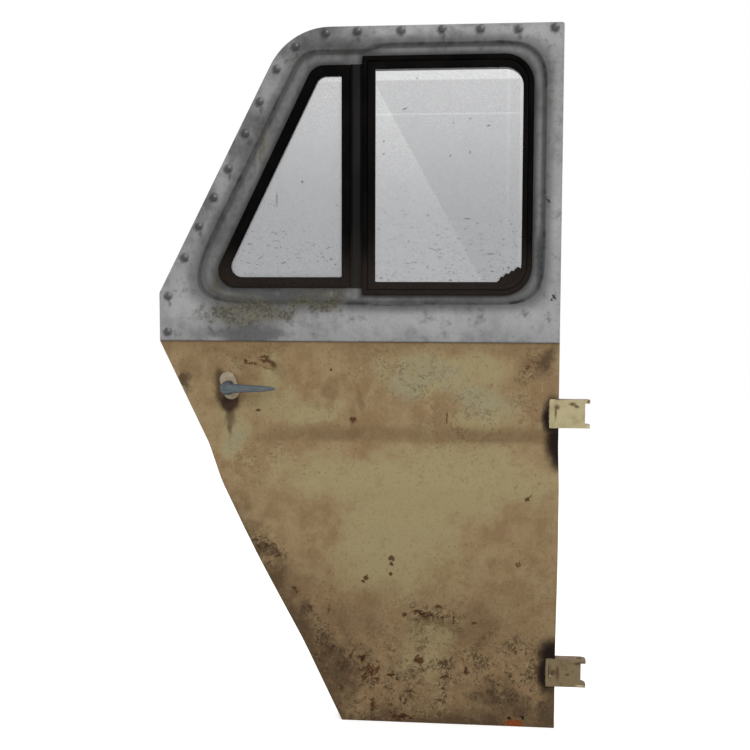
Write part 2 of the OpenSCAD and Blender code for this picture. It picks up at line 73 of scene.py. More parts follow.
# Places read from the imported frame
LOWER_LOW, LOWER_HIGH = box("lower_skin")
UPPER_LOW, UPPER_HIGH = box("upper_skin")
COVER_LOW, COVER_HIGH = box("service_cover")
FACE_Y = UPPER_LOW.y
X_REAR, X_NOSE = UPPER_HIGH.x, UPPER_LOW.x
Z_BELT, Z_TOP, Z_BOTTOM = UPPER_LOW.z, UPPER_HIGH.z, LOWER_LOW.z
UPPER_DEPTH = UPPER_HIGH.y - FACE_Y
LOWER_DEPTH = LOWER_HIGH.y - FACE_Y
PROUD = FACE_Y - LOWER_LOW.y
HANDLE = Vector(frame["joints"][0]["pos_m"])

# Sizes that more than one piece shares
GRIP = 6 * MM  # strip of glass that its rubber or its frame holds
QUARTER_FOOT, QUARTER_TOP = 109.3 * MM, 101.3 * MM  # from the windscreen edge to the quarter glass that shows
HOLE_FOOT, HOLE_TOP = Z_BELT + 106.5 * MM, Z_TOP - 73.5 * MM  # heights of the window hole
WEB, WEB_INSET = 4 * MM, 7 * MM  # half the thickness of the post's web, and from the post's edge to its web


def length(name, description, millimetres):
    """A size that a user can change, kept in metres."""
    return bpy.props.FloatProperty(name=name, description=description, default=millimetres * MM, unit="LENGTH", min=0.0)


def colour(name, description, red, green, blue):
    """A paint colour, given as it looks on screen from 0 to 255."""
    screen = (red / 255, green / 255, blue / 255)
    linear = [v / 12.92 if v <= 0.04045 else ((v + 0.055) / 1.055) ** 2.4 for v in screen]
    return bpy.props.FloatVectorProperty(
        name=name, description=description, default=(*linear, 1.0), size=4, subtype="COLOR", min=0.0, max=1.0
    )


class VanDoorSizes(bpy.types.PropertyGroup):
    """Sizes of the pressings, the rubbers and the fittings."""

    sheet: length("Sheet", "Thickness of the sheet steel", 1.2)
    fold: length("Fold", "Outer radius where the sheet is folded", 1.4)
    top_w: length("Top edge", "Width of the top edge up to the line of the windscreen edge", 499.2)
    top_r: length("Top corner", "Radius of the top front corner", 125)
    nose_h: length("Nose", "Height of the upright nose above the belt seam", 90)
    nose_r: length("Nose radius", "Radius at the foot of the windscreen edge", 12)
    bottom_w: length("Bottom edge", "Width of the bottom edge", 402)
    crease_drop: length("Crease", "Drop from the belt seam to the crease", 193.5)
    shoulder_drop: length("Shoulder", "Drop from the crease to the fullest point", 66)
    fall_h: length("Fall", "Height above the bottom edge where the face starts to fall back", 330)
    foot_h: length("Foot", "Height above the bottom edge where the face is flat again", 154)
    step_depth: length("Step depth", "Depth of the pressed step round the windows", 8)
    step_slope: length("Step slope", "Width of the slope of the pressed step", 6)
    step_rear: length("Step, hinge side", "Margin from the hinge edge to the step", 30.5)
    step_top: length("Step, top", "Margin from the top edge to the step over the sash", 32.5)
    step_drop: length("Step drop", "Drop of the step over the quarter light", 10)
    step_front: length("Step, windscreen side", "Margin from the windscreen edge to the step", 41)
    step_bottom: length("Step, foot", "Height of the step above the belt seam", 71)
    step_r: length("Step radius", "Radius of the step at the hinge side", 62)
    step_front_r: length("Step front radius", "Radius at the top of the windscreen side", 46)
    step_low_r: length("Step low radius", "Radius at the foot of the windscreen side", 58)
    rivet_r: length("Rivet radius", "Radius of the dome rivets", 6.8)
    rivet_h: length("Rivet height", "Height of the dome rivets", 3.8)
    seal_w: length("Rubber", "Width of the rubber round the quarter light", 20)
    seal_post: length("Rubber at the post", "Width of the rubber at the post", 16.5)
    run_w: length("Run", "Width of the run that holds the sash", 10)
    lever_l: length("Lever", "Length of the outer lever from the spindle to its tip", 92)
    lever_w: length("Lever width", "Width of the outer lever at its root", 18)
    lever_t: length("Lever thickness", "Thickness of the outer lever", 9)
    lever_off: length("Lever stand-off", "Distance of the outer lever from the flat face", 24)
    inner_lever_l: length("Inner lever", "Length of the inner lever", 96)


class VanDoorColours(bpy.types.PropertyGroup):
    """Colours of the paint, the dirt and the trim."""

    tan: colour("Tan", "Old stained paint of the lower body", 136, 112, 81)
    pale_tan: colour("Pale tan", "Lighter stains on the lower body", 151, 129, 96)
    khaki: colour("Khaki", "Paint of the lower body where it is clean", 156, 143, 106)
    grey_khaki: colour("Grey khaki", "Chalky grey-green paint of the lower body", 147, 140, 113)
    brown: colour("Brown", "Brown stain on the lower body", 112, 90, 63)
    # This colour also paints the fringe of the shadow at the hinges and the shade along the belt seam
    dark_brown: colour("Dark brown", "Heavy dirt on the lower body", 72, 56, 40)
    # This colour also paints the shadow beside and below the hinges
    soot_and_shadow: colour("Soot", "Near-black grime at the hinges and the handle", 26, 17, 12)
    # This colour also paints the shade of a groove and a dent on the hinges
    fleck: colour("Fleck", "Dark rust flecks", 74, 49, 29)
    rust: colour("Rust", "Red rust", 128, 66, 34)
    # This colour also paints the highlights on the rivets
    light_grey: colour("Light grey", "Clean paint of the window frame", 152, 152, 153)
    mid_grey: colour("Mid grey", "Dull paint of the window frame", 108, 108, 108)
    # This colour also paints the shade in the pressing, on the rivets, beside the sash and along the belt seam
    dark_grey: colour("Dark grey", "Dirt in the pressing", 46, 46, 46)
    moss: colour("Moss", "Green-brown growth under the quarter light", 92, 84, 54)
    inner: colour("Inner paint", "Paint of the inner side", 134, 128, 106)
    hinge_tan: colour("Hinge tan", "Paint of the upper hinge", 180, 168, 130)
    hinge_brown: colour("Hinge brown", "Dirt on the lower hinge", 118, 102, 74)
    rose: colour("Rose", "Worn paint of the rose", 160, 146, 124)
    steel: colour("Steel", "Blue-grey steel of the levers", 70, 84, 90)
    plum: colour("Plum", "Purple tint on the steel of the levers", 78, 74, 90)
    bright_steel: colour("Bright steel", "Bare steel of the fittings", 150, 148, 142)
    rubber: colour("Rubber", "Aged rubber and black paint", 4, 4, 4)
    warm_rubber: colour("Warm rubber", "Dusty rubber", 44, 38, 34)
    haze: colour("Haze", "Haze on the glass", 168, 169, 171)


# Outlines are lists of corners (x, z, radius), counter-clockwise when seen from outside


def unit(a, b):
    """Direction from one corner to the next."""
    return (Vector(b[:2]) - Vector(a[:2])).normalized()


def left_of(v):
    return Vector((-v.y, v.x))


def inset(corners, distance):
    """The outline moved inwards, or outwards where the distance is below zero."""
    moved = []
    for i, corner in enumerate(corners):
        u, v = unit(corners[i - 1], corner), unit(corner, corners[(i + 1) % len(corners)])
        nu, nv = left_of(u), left_of(v)
        place = Vector(corner[:2]) + (nu + nv) * (distance / (1 + nu.dot(nv)))
        turn = 1 if u.cross(v) > 0 else -1
        radius = max(0.5 * MM, corner[2] - turn * distance) if corner[2] else 0.0
        moved.append((place.x, place.y, radius))
    return moved


def rounded(corners):
    """Points (x, z) of the outline with its corners rounded."""
    points = []
    for i, corner in enumerate(corners):
        place = Vector(corner[:2])
        u, v = unit(corners[i - 1], corner), unit(corner, corners[(i + 1) % len(corners)])
        bend = math.atan2(u.cross(v), u.dot(v))
        steps = max(2, math.ceil(abs(bend) / ARC_STEP)) if corner[2] else 0
        side = math.copysign(corner[2], bend)
        centre = place - u * (corner[2] * math.tan(abs(bend) / 2)) + left_of(u) * side
        for k in range(steps + 1):
            points.append(centre - Matrix.Rotation(bend * k / max(1, steps), 2) @ (left_of(u) * side))
    return [(p.x, p.y) for p in points]


def with_radius(corners, radius):
    return [(c[0], c[1], radius) for c in corners]


def slant_x(corners, z):
    """Place at a height of the slanted front edge, between the third and the fourth corner."""
    top, foot = corners[2], corners[3]
    return foot[0] + (top[0] - foot[0]) * (z - foot[1]) / (top[1] - foot[1])


def upper_outline(s):
    return [
        (X_REAR, Z_BELT, 0.5 * MM),
        (X_REAR, Z_TOP, 4 * MM),
        (X_REAR - s.top_w, Z_TOP, s.top_r),
        (X_NOSE, Z_BELT + s.nose_h, s.nose_r),
        (X_NOSE, Z_BELT, 0.5 * MM),
    ]


def lower_outline(s):
    return [(X_REAR, Z_BOTTOM, 0), (X_REAR, Z_BELT, 0), (X_NOSE, Z_BELT, 0), (X_REAR - s.bottom_w, Z_BOTTOM, 0)]


def quarter_day(s):
    """Outline of the quarter glass that shows: the glass without the strip that its rubber holds."""
    low, high = box("quarter_glass")
    x_rear = box("division_post")[0].x - s.seal_post
    z0, z1 = low.z + GRIP, high.z - GRIP
    outline = upper_outline(s)
    x_foot, x_top = slant_x(outline, z0) + QUARTER_FOOT, slant_x(outline, z1) + QUARTER_TOP
    return [(x_rear, z0, 3 * MM), (x_rear, z1, 3 * MM), (x_top, z1, 20 * MM), (x_foot, z0, 20 * MM)]


def sash_outer():
    """Outline of the run round the sash."""
    (_, _, z0), (x_rear, _, z1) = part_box("sash_run")
    x_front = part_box("division_post")[1][0]
    radius = 54 * MM
    return [(x_rear, z0, radius), (x_rear, z1, radius), (x_front, z1, 3 * MM), (x_front, z0, 3 * MM)]


def sash_day():
    """Outline of the sash glass that shows."""
    low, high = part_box("sash_glass")
    x_front, x_rear = low[0] + GRIP, high[0] - GRIP
    z0, z1 = low[2] + GRIP, high[2] - GRIP
    return [(x_rear, z0, 33.5 * MM), (x_rear, z1, 33.5 * MM), (x_front, z1, 2 * MM), (x_front, z0, 2 * MM)]


def window_hole(s):
    """Outline of the hole in the window pressing."""
    line = inset(quarter_day(s), -13 * MM)
    x_rear = sash_day()[0][0] + GRIP
    return [
        (x_rear, HOLE_FOOT, 38 * MM),
        (x_rear, HOLE_TOP, 38 * MM),
        (slant_x(line, HOLE_TOP), HOLE_TOP, 26 * MM),
        (slant_x(line, HOLE_FOOT), HOLE_FOOT, 26 * MM),
    ]


def step_outline(s):
    """Outline of the pressed step round both windows, with its small drop over the quarter light."""
    z0, z1 = Z_BELT + s.step_bottom, Z_TOP - s.step_top
    x_drop = sash_outer()[2][0] + 2 * s.step_drop
    line = inset(upper_outline(s), s.step_front)
    z2 = z1 - s.step_drop
    return [
        (X_REAR - s.step_rear, z0, s.step_r),
        (X_REAR - s.step_rear, z1, s.step_r),
        (x_drop, z1, 26 * MM),
        (x_drop - 2 * s.step_drop, z2, 20 * MM),
        (slant_x(line, z2), z2, s.step_front_r),
        (slant_x(line, z0), z0, s.step_low_r),
    ]


def shoulder_profile(s):
    """Depth of the lower face behind the flat face, as a function of height."""
    z_crease = Z_BELT - s.crease_drop
    corners = [
        (0, Z_BELT, 0),
        (0, z_crease, 14 * MM),
        (-PROUD, z_crease - s.shoulder_drop, 55 * MM),
        (-PROUD, Z_BOTTOM + s.fall_h, 520 * MM),
        (0, Z_BOTTOM + s.foot_h, 180 * MM),
        (0, Z_BOTTOM, 0),
        (LOWER_DEPTH, Z_BOTTOM, 0),
        (LOWER_DEPTH, Z_BELT, 0),
    ]
    points = [(z, d) for d, z in rounded(corners) if d < LOWER_DEPTH / 2]
    points.sort()

    def depth(z):
        z = min(max(z, points[0][0]), points[-1][0])
        for (z0, d0), (z1, d1) in zip(points, points[1:]):
            if z0 <= z <= z1 and z1 > z0:
                return d0 + (d1 - d0) * (z - z0) / (z1 - z0)
        return points[-1][1]

    return depth, [z for z, _ in points]


# Meshes


def inside(point, outline):
    """True where the point (x, z) is inside the outline's points."""
    crossings = False
    for (x0, z0), (x1, z1) in zip(outline, outline[1:] + outline[:1]):
        if (z0 > point[1]) != (z1 > point[1]) and point[0] < x0 + (x1 - x0) * (point[1] - z0) / (z1 - z0):
            crossings = not crossings
    return crossings


class Form:
    """Vertices and faces of one piece, gathered ring by ring."""

    def __init__(self):
        self.points = []
        self.faces = []

    def add(self, points):
        """Adds points and returns their indices."""
        start = len(self.points)
        self.points.extend(Vector(p) for p in points)
        return list(range(start, len(self.points)))

    def flat(self, outline, depth):
        """Adds an outline's points at a depth behind the flat face."""
        return self.add([(x, FACE_Y + depth, z) for x, z in outline])

    def bridge(self, outer, inner):
        """Joins two rings of as many points, the outer one first."""
        for i in range(len(outer)):
            j = (i + 1) % len(outer)
            self.faces.append((outer[i], outer[j], inner[j], inner[i]))

    def loft(self, rings, joined=False):
        """Joins rings one after the other, and the last to the first where joined."""
        for a, b in zip(rings, rings[1:] + (rings[:1] if joined else [])):
            self.bridge(a, b)

    def cap(self, ring, flip=False):
        """Closes a ring with one face."""
        self.faces.append(tuple(reversed(ring)) if flip else tuple(ring))

    def between(self, outer, inner):
        """Fills the flat space between two rings with triangles."""
        ids = outer + inner
        places = [Vector((self.points[i].x, self.points[i].z)) for i in ids]
        n, m = len(outer), len(inner)
        edges = [(i, (i + 1) % n) for i in range(n)] + [(n + i, n + (i + 1) % m) for i in range(m)]
        found = geometry.delaunay_2d_cdt(places, edges, [], 0, 1e-8)
        origin = [o[0] for o in found[3]]
        outer_line = [tuple(p) for p in places[:n]]
        inner_line = [tuple(p) for p in places[n:]]
        for face in found[2]:
            centre = sum((found[0][i] for i in face), Vector((0, 0))) / len(face)
            if inside(centre, outer_line) and not inside(centre, inner_line):
                self.faces.append(tuple(ids[origin[i]] for i in face))

    def merge(self, other, place=None):
        """Adds another form's points and faces, moved by a matrix."""
        start = len(self.points)
        self.points.extend((place @ p) if place else p.copy() for p in other.points)
        self.faces.extend(tuple(start + i for i in face) for face in other.faces)

    def turn_over(self):
        """Turns every face the other way, for a sheet that is seen from the inner side."""
        self.faces = [tuple(reversed(face)) for face in self.faces]

    def mesh(self, name):
        """The form as a mesh."""
        mesh = bpy.data.meshes.new(name)
        mesh.from_pydata([tuple(p) for p in self.points], [], self.faces)
        mesh.validate()
        mesh.shade_smooth()
        return mesh


def placed(name, data):
    """An object of that data, put in the scene."""
    obj = bpy.data.objects.new(name, data)
    bpy.context.scene.collection.objects.link(obj)
    return obj


def piece(name, form, slot, stands_for=(), body="door", sheet=0.0, sharp=40):
    """Makes an object of a form, with its finish, its body and the CAD nodes that it stands for."""
    mesh = form.mesh(name)
    obj = placed(name, mesh)
    mesh.materials.append(finish(slot))
    if sheet:
        solid = obj.modifiers.new("Sheet", "SOLIDIFY")
        solid.thickness = sheet
        solid.offset = -1
        solid.use_even_offset = True
    else:
        mesh.set_sharp_from_angle(angle=math.radians(sharp))
    weighted = obj.modifiers.new("Normals", "WEIGHTED_NORMAL")
    weighted.keep_sharp = True
    if stands_for:
        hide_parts(*stands_for)
    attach(obj, body)


def soften(obj, width):
    """Rounds the sharp edges of an object."""
    bevel = obj.modifiers.new("Edges", "BEVEL")
    bevel.width = width
    bevel.segments = 2
    bevel.limit_method = "ANGLE"
    bevel.angle_limit = math.radians(35)
    bevel.harden_normals = False


def finish_node(node, slot, edge=0.0):
    """Gives a CAD node the finish of a slot, with softened edges."""
    obj = frame["nodes"][node]
    obj.data.materials.clear()
    obj.data.materials.append(finish(slot))
    if edge:
        weld = obj.modifiers.new("Weld", "WELD")
        weld.merge_threshold = 0.01 * MM
        soften(obj, edge)


def ease(t):
    """A soft start and end for a share from 0 to 1."""
    return t * t * (3 - 2 * t)


def turned(profile, sides=20):
    """A form turned about its own Z axis from a profile of (radius, height), closed at the top."""
    form = Form()
    rings = []
    for radius, height in profile:
        angles = [2 * math.pi * k / sides for k in range(sides)]
        rings.append(form.add([(radius * math.cos(a), radius * math.sin(a), height) for a in angles]))
    form.loft(rings)
    form.cap(rings[-1])
    return form


def standing(x, z, depth, turn, lean):
    """Matrix that stands a turned form at (x, z) and a depth, turned about its axis and then leant over."""
    return Matrix.Translation((x, FACE_Y + depth, z)) @ Matrix.Rotation(lean, 4, "X") @ Matrix.Rotation(turn, 4, "Z")


def outwards(x, z, depth=0.0, turn=0.0):
    """Matrix for a turned form on the outside, with its axis towards -Y."""
    return standing(x, z, depth, turn, math.pi / 2)


def inwards(x, z, depth, turn=0.0):
    """Matrix for a turned form on the inner side, with its axis towards +Y."""
    return standing(x, z, depth, turn, -math.pi / 2)


def swept(path, sections):
    """A closed form through sections, each a list of points (across, up) set at a place on the path."""
    form = Form()
    rings = []
    for (place, across, up), section in zip(path, sections):
        rings.append(form.add([place + across * a + up * b for a, b in section]))
    form.loft(rings)
    form.cap(rings[0], flip=True)
    form.cap(rings[-1])
    return form


def oval(half_width, half_height, power, sides):
    """A soft rectangle's points, from round at a power of 2 to square at a high power."""
    points = []
    for k in range(sides):
        a = 2 * math.pi * k / sides
        across, up = (math.copysign(abs(v) ** (2 / power), v) for v in (math.cos(a), math.sin(a)))
        points.append((half_width * across, half_height * up))
    return points


def bead(start, end, radius, seed):
    """A weld bead between two points, as overlapping ripples."""
    start, end = Vector(start), Vector(end)
    along = (end - start).normalized()
    side = along.cross(Vector((0, 1, 0))).normalized()
    steps = max(8, int((end - start).length / (radius * 0.45)))
    path, sections = [], []
    for k in range(steps + 1):
        t = k / steps
        wander = noise.noise(Vector((seed, t * 9, 0.3)))
        swell = 1 + 0.22 * math.cos(k * math.pi) + 0.25 * wander
        taper = max(0.15, math.sin(math.pi * min(max(t, 0.04), 0.96)) ** 0.35)
        path.append((start.lerp(end, t) + side * (wander * radius * 0.4), side, Vector((0, 1, 0))))
        sections.append([(a * swell * taper, b * swell * taper) for a, b in oval(radius, radius * 0.8, 2.0, 10)])
    return swept(path, sections)


# Shader expressions


class Value:
    """A shader socket that takes part in Python expressions."""

    def __init__(self, shader, socket):
        self.shader = shader
        self.socket = socket

    def math(self, operation, *others, flip=False):
        """A Math node on this value and others, with this one last where flipped."""
        values = [*others, self] if flip else [self, *others]
        return self.shader.node("ShaderNodeMath", {"operation": operation}, dict(enumerate(values)))

    def __add__(self, other):
        return self.math("ADD", other)

    __radd__ = __add__

    def __sub__(self, other):
        return self.math("SUBTRACT", other)

    def __rsub__(self, other):
        return self.math("SUBTRACT", other, flip=True)

    def __mul__(self, other):
        return self.math("MULTIPLY", other)

    __rmul__ = __mul__

    def __truediv__(self, other):
        return self.math("DIVIDE", other)

    def __or__(self, other):
        """The larger of two masks."""
        return self.math("MAXIMUM", other)

    def __and__(self, other):
        """The smaller of two masks."""
        return self.math("MINIMUM", other)

    def swing(self, amount):
        """Noise from 0 to 1 moved about 0, as wide as the amount."""
        return (self - 0.5) * amount

    def clamped(self):
        """The value held between 0 and 1."""
        return self.shader.node("ShaderNodeClamp", {}, {"Value": self})


class Shader:
    """The nodes of a material or of the world, written as expressions. Its base colour is laid on coat by coat."""

    def __init__(self, owner):
        self.owner = owner
        self.owner.use_nodes = True
        self.tree = self.owner.node_tree
        self.tree.nodes.clear()
        self.place = self.node("ShaderNodeTexCoord", {}, {}, "Object")
        self.base = None
        self.squeezed = {}

    def node(self, kind, settings, sockets, output=0):
        """Adds a node: its settings first, then the values or links of its sockets. Returns one output, if any."""
        new = self.tree.nodes.new(kind)
        for name, value in settings.items():
            if name == "stops":
                ramp = new.color_ramp.elements
                while len(ramp) < len(value):
                    ramp.new(0.5)
                for element, (position, shade) in zip(ramp, value):
                    element.position = position
                    element.color = shade
            else:
                setattr(new, name, value)
        for name, value in sockets.items():
            if isinstance(value, Value):
                self.tree.links.new(value.socket, new.inputs[name])
            else:
                new.inputs[name].default_value = value
        return Value(self, new.outputs[output]) if new.outputs else None

    def mix(self, factor, a, b):
        """Colour a where the factor is 0 and colour b where it is 1."""
        settings = {"data_type": "RGBA", "blend_type": "MIX", "clamp_factor": True}
        return self.node("ShaderNodeMix", settings, {0: factor, 6: tuple_or(a), 7: tuple_or(b)}, 2)

    def coat(self, mask, shade):
        """Lays a colour over the base colour where the mask is 1."""
        self.base = self.mix(mask, self.base, shade)

    def axes(self, place=None):
        """The x, y and z of a place."""
        place = place or self.place
        return [self.node("ShaderNodeSeparateXYZ", {}, {0: place}, k) for k in range(3)]

    def noise(self, size, detail, rough, stretch=(1, 1, 1)):
        """Noise from 0 to 1, with features of about that size in metres."""
        place = self.place
        if stretch != (1, 1, 1):
            place = self.node("ShaderNodeMapping", {}, {"Vector": place, "Scale": stretch})
        sockets = {"Vector": place, "Scale": 1 / size, "Detail": detail, "Roughness": rough}
        return self.node("ShaderNodeTexNoise", {}, sockets)

    def ramp(self, value, low, high, to_low=0.0, to_high=1.0):
        """A smooth change as a value goes from low to high."""
        sockets = {"Value": value, "From Min": low, "From Max": high, "To Min": to_low, "To Max": to_high}
        return self.node("ShaderNodeMapRange", {"interpolation_type": "SMOOTHSTEP"}, sockets)

    def wander(self, size, amount):
        """The place, pushed about by noise, so that a mark's edge is ragged."""
        sockets = {"Vector": self.place, "Scale": 1 / size, "Detail": 3.0}
        push = self.node("ShaderNodeTexNoise", {}, sockets, "Color")
        push = self.node("ShaderNodeVectorMath", {"operation": "SUBTRACT"}, {0: push, 1: (0.5, 0.5, 0.5)})
        push = self.node("ShaderNodeVectorMath", {"operation": "SCALE"}, {0: push, "Scale": 2 * amount})
        return self.node("ShaderNodeVectorMath", {"operation": "ADD"}, {0: self.place, 1: push})

    def stretched(self, place, ratio, turn):
        """The place turned and squeezed in height, so that ovals of that ratio and turn become round."""
        key = (id(place), ratio, turn)
        if key not in self.squeezed:
            sockets = {"Vector": place, "Rotation": (0, math.radians(-turn), 0), "Scale": (1, 1000, ratio)}
            self.squeezed[key] = self.node("ShaderNodeMapping", {"vector_type": "TEXTURE"}, sockets)
        return self.squeezed[key]

    def spots(self, place, marks, soft=0.6):
        """Oval marks: 1 in the middle, 0 at the edge. Their ratio and turn are rounded, so that many share a place."""
        nearest = None
        for x, z, half_x, half_z, *turn in marks:
            ratio = 2.0 ** round(math.log2(half_z / half_x))
            turn = 20 * round(turn[0] / 20) if turn and ratio != 1 else 0
            centre = Matrix.Rotation(math.radians(turn), 3, "Y") @ Vector((x * MM, 0, z * MM))
            centre.z /= ratio
            sockets = {0: self.stretched(place, ratio, turn), 1: tuple(centre)}
            away = self.node("ShaderNodeVectorMath", {"operation": "DISTANCE"}, sockets, "Value")
            away = away / (math.sqrt(half_x * half_z / ratio) * MM)
            nearest = away if nearest is None else nearest & away
        return self.ramp(nearest, 1.0, 1.0 - soft)

    def depth_inside(self, corners):
        """Distance in metres inside a convex outline with rounded corners, below zero outside it."""
        x, _, z = self.axes()
        sides, total = [], None
        for a, b in zip(corners, corners[1:] + corners[:1]):
            n = left_of(unit(a, b))
            sides.append((n, x * n.x + z * n.y - (a[0] * n.x + a[1] * n.y)))
        for (n, before), (m, after), corner in zip(sides[-1:] + sides[:-1], sides, corners):
            cut = 6 * corner[2] * (1 - math.sqrt((1 + n.dot(m)) / 2))
            near = self.node("ShaderNodeMath", {"operation": "SMOOTH_MIN"}, {0: before, 1: after, 2: cut})
            total = near if total is None else total & near
        return total

    def bump(self, height, strength, distance, normal=None):
        """A normal that follows a height."""
        sockets = {"Height": height, "Strength": strength, "Distance": distance}
        if normal:
            sockets["Normal"] = normal
        return self.node("ShaderNodeBump", {}, sockets)

    def shown(self):
        """1 for what the camera sees, also in a reflection or through glass, and 0 for what only lights the door."""
        seen, glossy, through = (
            self.node("ShaderNodeLightPath", {}, {}, f"Is {ray} Ray") for ray in ("Camera", "Glossy", "Transmission")
        )
        return seen | glossy | through

    def surface(self, gloss, **sockets):
        """Ends the material in one surface shader over the base colour, and returns the material."""
        sockets = {"Base Color": self.base, "Metallic": 0.0, "Specular IOR Level": gloss, **sockets}
        surface = self.node("ShaderNodeBsdfPrincipled", {}, sockets, "BSDF")
        self.node("ShaderNodeOutputMaterial", {}, {"Surface": surface})
        return self.owner


def material(name):
    """An empty material, to be written as expressions."""
    return Shader(bpy.data.materials.new(name))


def tuple_or(shade):
    """A colour property as plain numbers, and a socket as it is."""
    return shade if isinstance(shade, Value) else tuple(shade)


# Marks on the outside in millimetres in the door's frame: x, z, half width, half height and, where there is one, a
# turn in degrees. Rivets have only x and z.

RIVETS = [
    (-60, 1210), (-125, 1209), (-193, 1210), (-262, 1211), (-336, 1210), (-416, 1210), (-474, 1207), (-530, 1184),
    (-565, 1145), (-597, 1086), (-625, 1029), (-657, 965), (-685, 912), (-714, 859), (-742, 801), (-774, 729),
    (-776, 662),
]
CHIPS = [
    (-616, 601, 12, 4), (-588, 602, 26, 11, -20), (-594, 613, 13, 5), (-628, 606, 4, 4), (-425, 497, 7, 8),
    (-350, 243, 6.5, 7), (-350, 232, 4, 5), (-352, 212, 4, 5), (-398, 204, 6, 8), (-403, 196, 4, 4),
    (-535, 178, 5, 6, -40), (-530, 172, 5, 3.5, 40), (-467, 591, 4, 4), (-605, 515, 4.5, 4.5), (-102, 360, 5, 5),
    (-96, 365, 5, 2.4, 40), (-116, 237, 6, 6), (-446, -19, 5, 5), (-250, 504, 2, 12), (-396, 24, 5, 10),
    (-378, 20, 6, 9, -20), (-404, 4, 8, 4), (-381, 2, 8, 3.5), (-386, -46, 5, 7, -40), (-430, 44, 4, 6),
    (-445, 20, 4, 5), (-300, 140, 10, 3), (-326, 132, 6, 5, 20), (-286, 128, 6, 3), (-262, 150, 8, 3),
    (-196, 118, 8, 3), (-296, 40, 8, 9, 20), (-210, 20, 7, 5), (-318, -20, 9, 5),
]
CHIP_HEARTS = [(-616, 599, 11, 3), (-593, 600, 20, 6.5, -20), (-598, 611, 9, 3), (-421, 492, 2.6, 3),
    (-116, 237, 2.6, 2.6)]
PALE_MARKS = [(-592, 619, 12, 1.6, -14), (-600, 590, 12, 1.6, -9), (-258, 184, 3, 26, -36), (-104, 585, 2.6, 24, -52),
    (-76, 560, 2.4, 16, -28), (-94, 535, 14, 1.4), (-573, 283, 7, 11), (-540, 243, 6, 4), (-62, 20, 2, 12, -8),
    (-96, 40, 14, 2.6, 28), (-120, 30, 2.4, 26, 20)]
KHAKI_PATCHES = [(-300, 390, 460, 90), (-345, 280, 210, 150), (-250, 586, 190, 76), (-180, 520, 110, 80),
    (-650, 480, 80, 70), (-580, 560, 60, 60), (-510, 510, 80, 50), (-290, 70, 80, 90)]
CHALK_PATCHES = [(-280, 590, 130, 50), (-190, 540, 110, 60), (-655, 470, 40, 40), (-330, 560, 60, 50)]
BROWN_PATCHES = [(-560, 190, 120, 110, -25), (-430, 120, 120, 100), (-190, 110, 90, 80), (-250, 110, 120, 40),
    (-640, 630, 140, 34), (-730, 590, 60, 60, -20), (-80, 590, 70, 90), (-424, 545, 16, 54), (-470, 560, 34, 64),
    (-560, 560, 44, 40)]
DIRT_PATCHES = [(-600, 248, 70, 40), (-640, 290, 44, 80, -20), (-470, 20, 130, 120, -20), (-130, -34, 140, 60),
    (-46, -50, 60, 110), (-520, 120, 60, 100, -20), (-746, 560, 18, 50, -20), (-52, 610, 26, 70)]
RED_CLUSTERS = [(-392, 14, 26, 34), (-350, 8, 20, 12), (-386, -46, 14, 14), (-290, 136, 44, 14), (-410, 40, 20, 12),
    (-300, 40, 12, 14), (-250, 8, 20, 12), (-330, -70, 60, 14), (-210, 24, 14, 10)]
FLECK_FIELDS = [(-270, 135, 120, 50), (-385, 15, 100, 100), (-255, 20, 150, 130), (-470, 50, 100, 100),
    (-350, -50, 160, 60), (-130, 30, 140, 120), (-590, 250, 70, 80), (-480, 130, 80, 80), (-80, 590, 40, 60)]
CRACK_FIELDS = [(-610, 610, 100, 60), (-220, 500, 120, 110), (-330, 580, 160, 80), (-90, 560, 60, 110),
    (-300, 40, 320, 200), (-600, 430, 70, 70)]

# Shades of single marks, in linear light, that no slider changes
FLECK_SHADE = (0.036, 0.019, 0.009, 1)
RED_SHADE = (0.135, 0.055, 0.022, 1)
RUN_SHADE = (0.032, 0.015, 0.010, 1)
CLEAN_AND_LIT_SHADE = (0.37, 0.37, 0.372, 1)
DULL_SHADE = (0.062, 0.062, 0.062, 1)
STEP_SHADE = (0.010, 0.010, 0.010, 1)
REVEAL_SHADE = (0.012, 0.012, 0.012, 1)
GROWTH_SHADE = (0.085, 0.078, 0.05, 1)
GRAIN_SHADE = (0.028, 0.026, 0.014, 1)
PALE_GROWTH_SHADE = (0.22, 0.2, 0.1, 1)
BARE_SHADE = (0.6, 0.52, 0.34, 1)
RUBBED_SHADE = (0.02, 0.02, 0.02, 1)


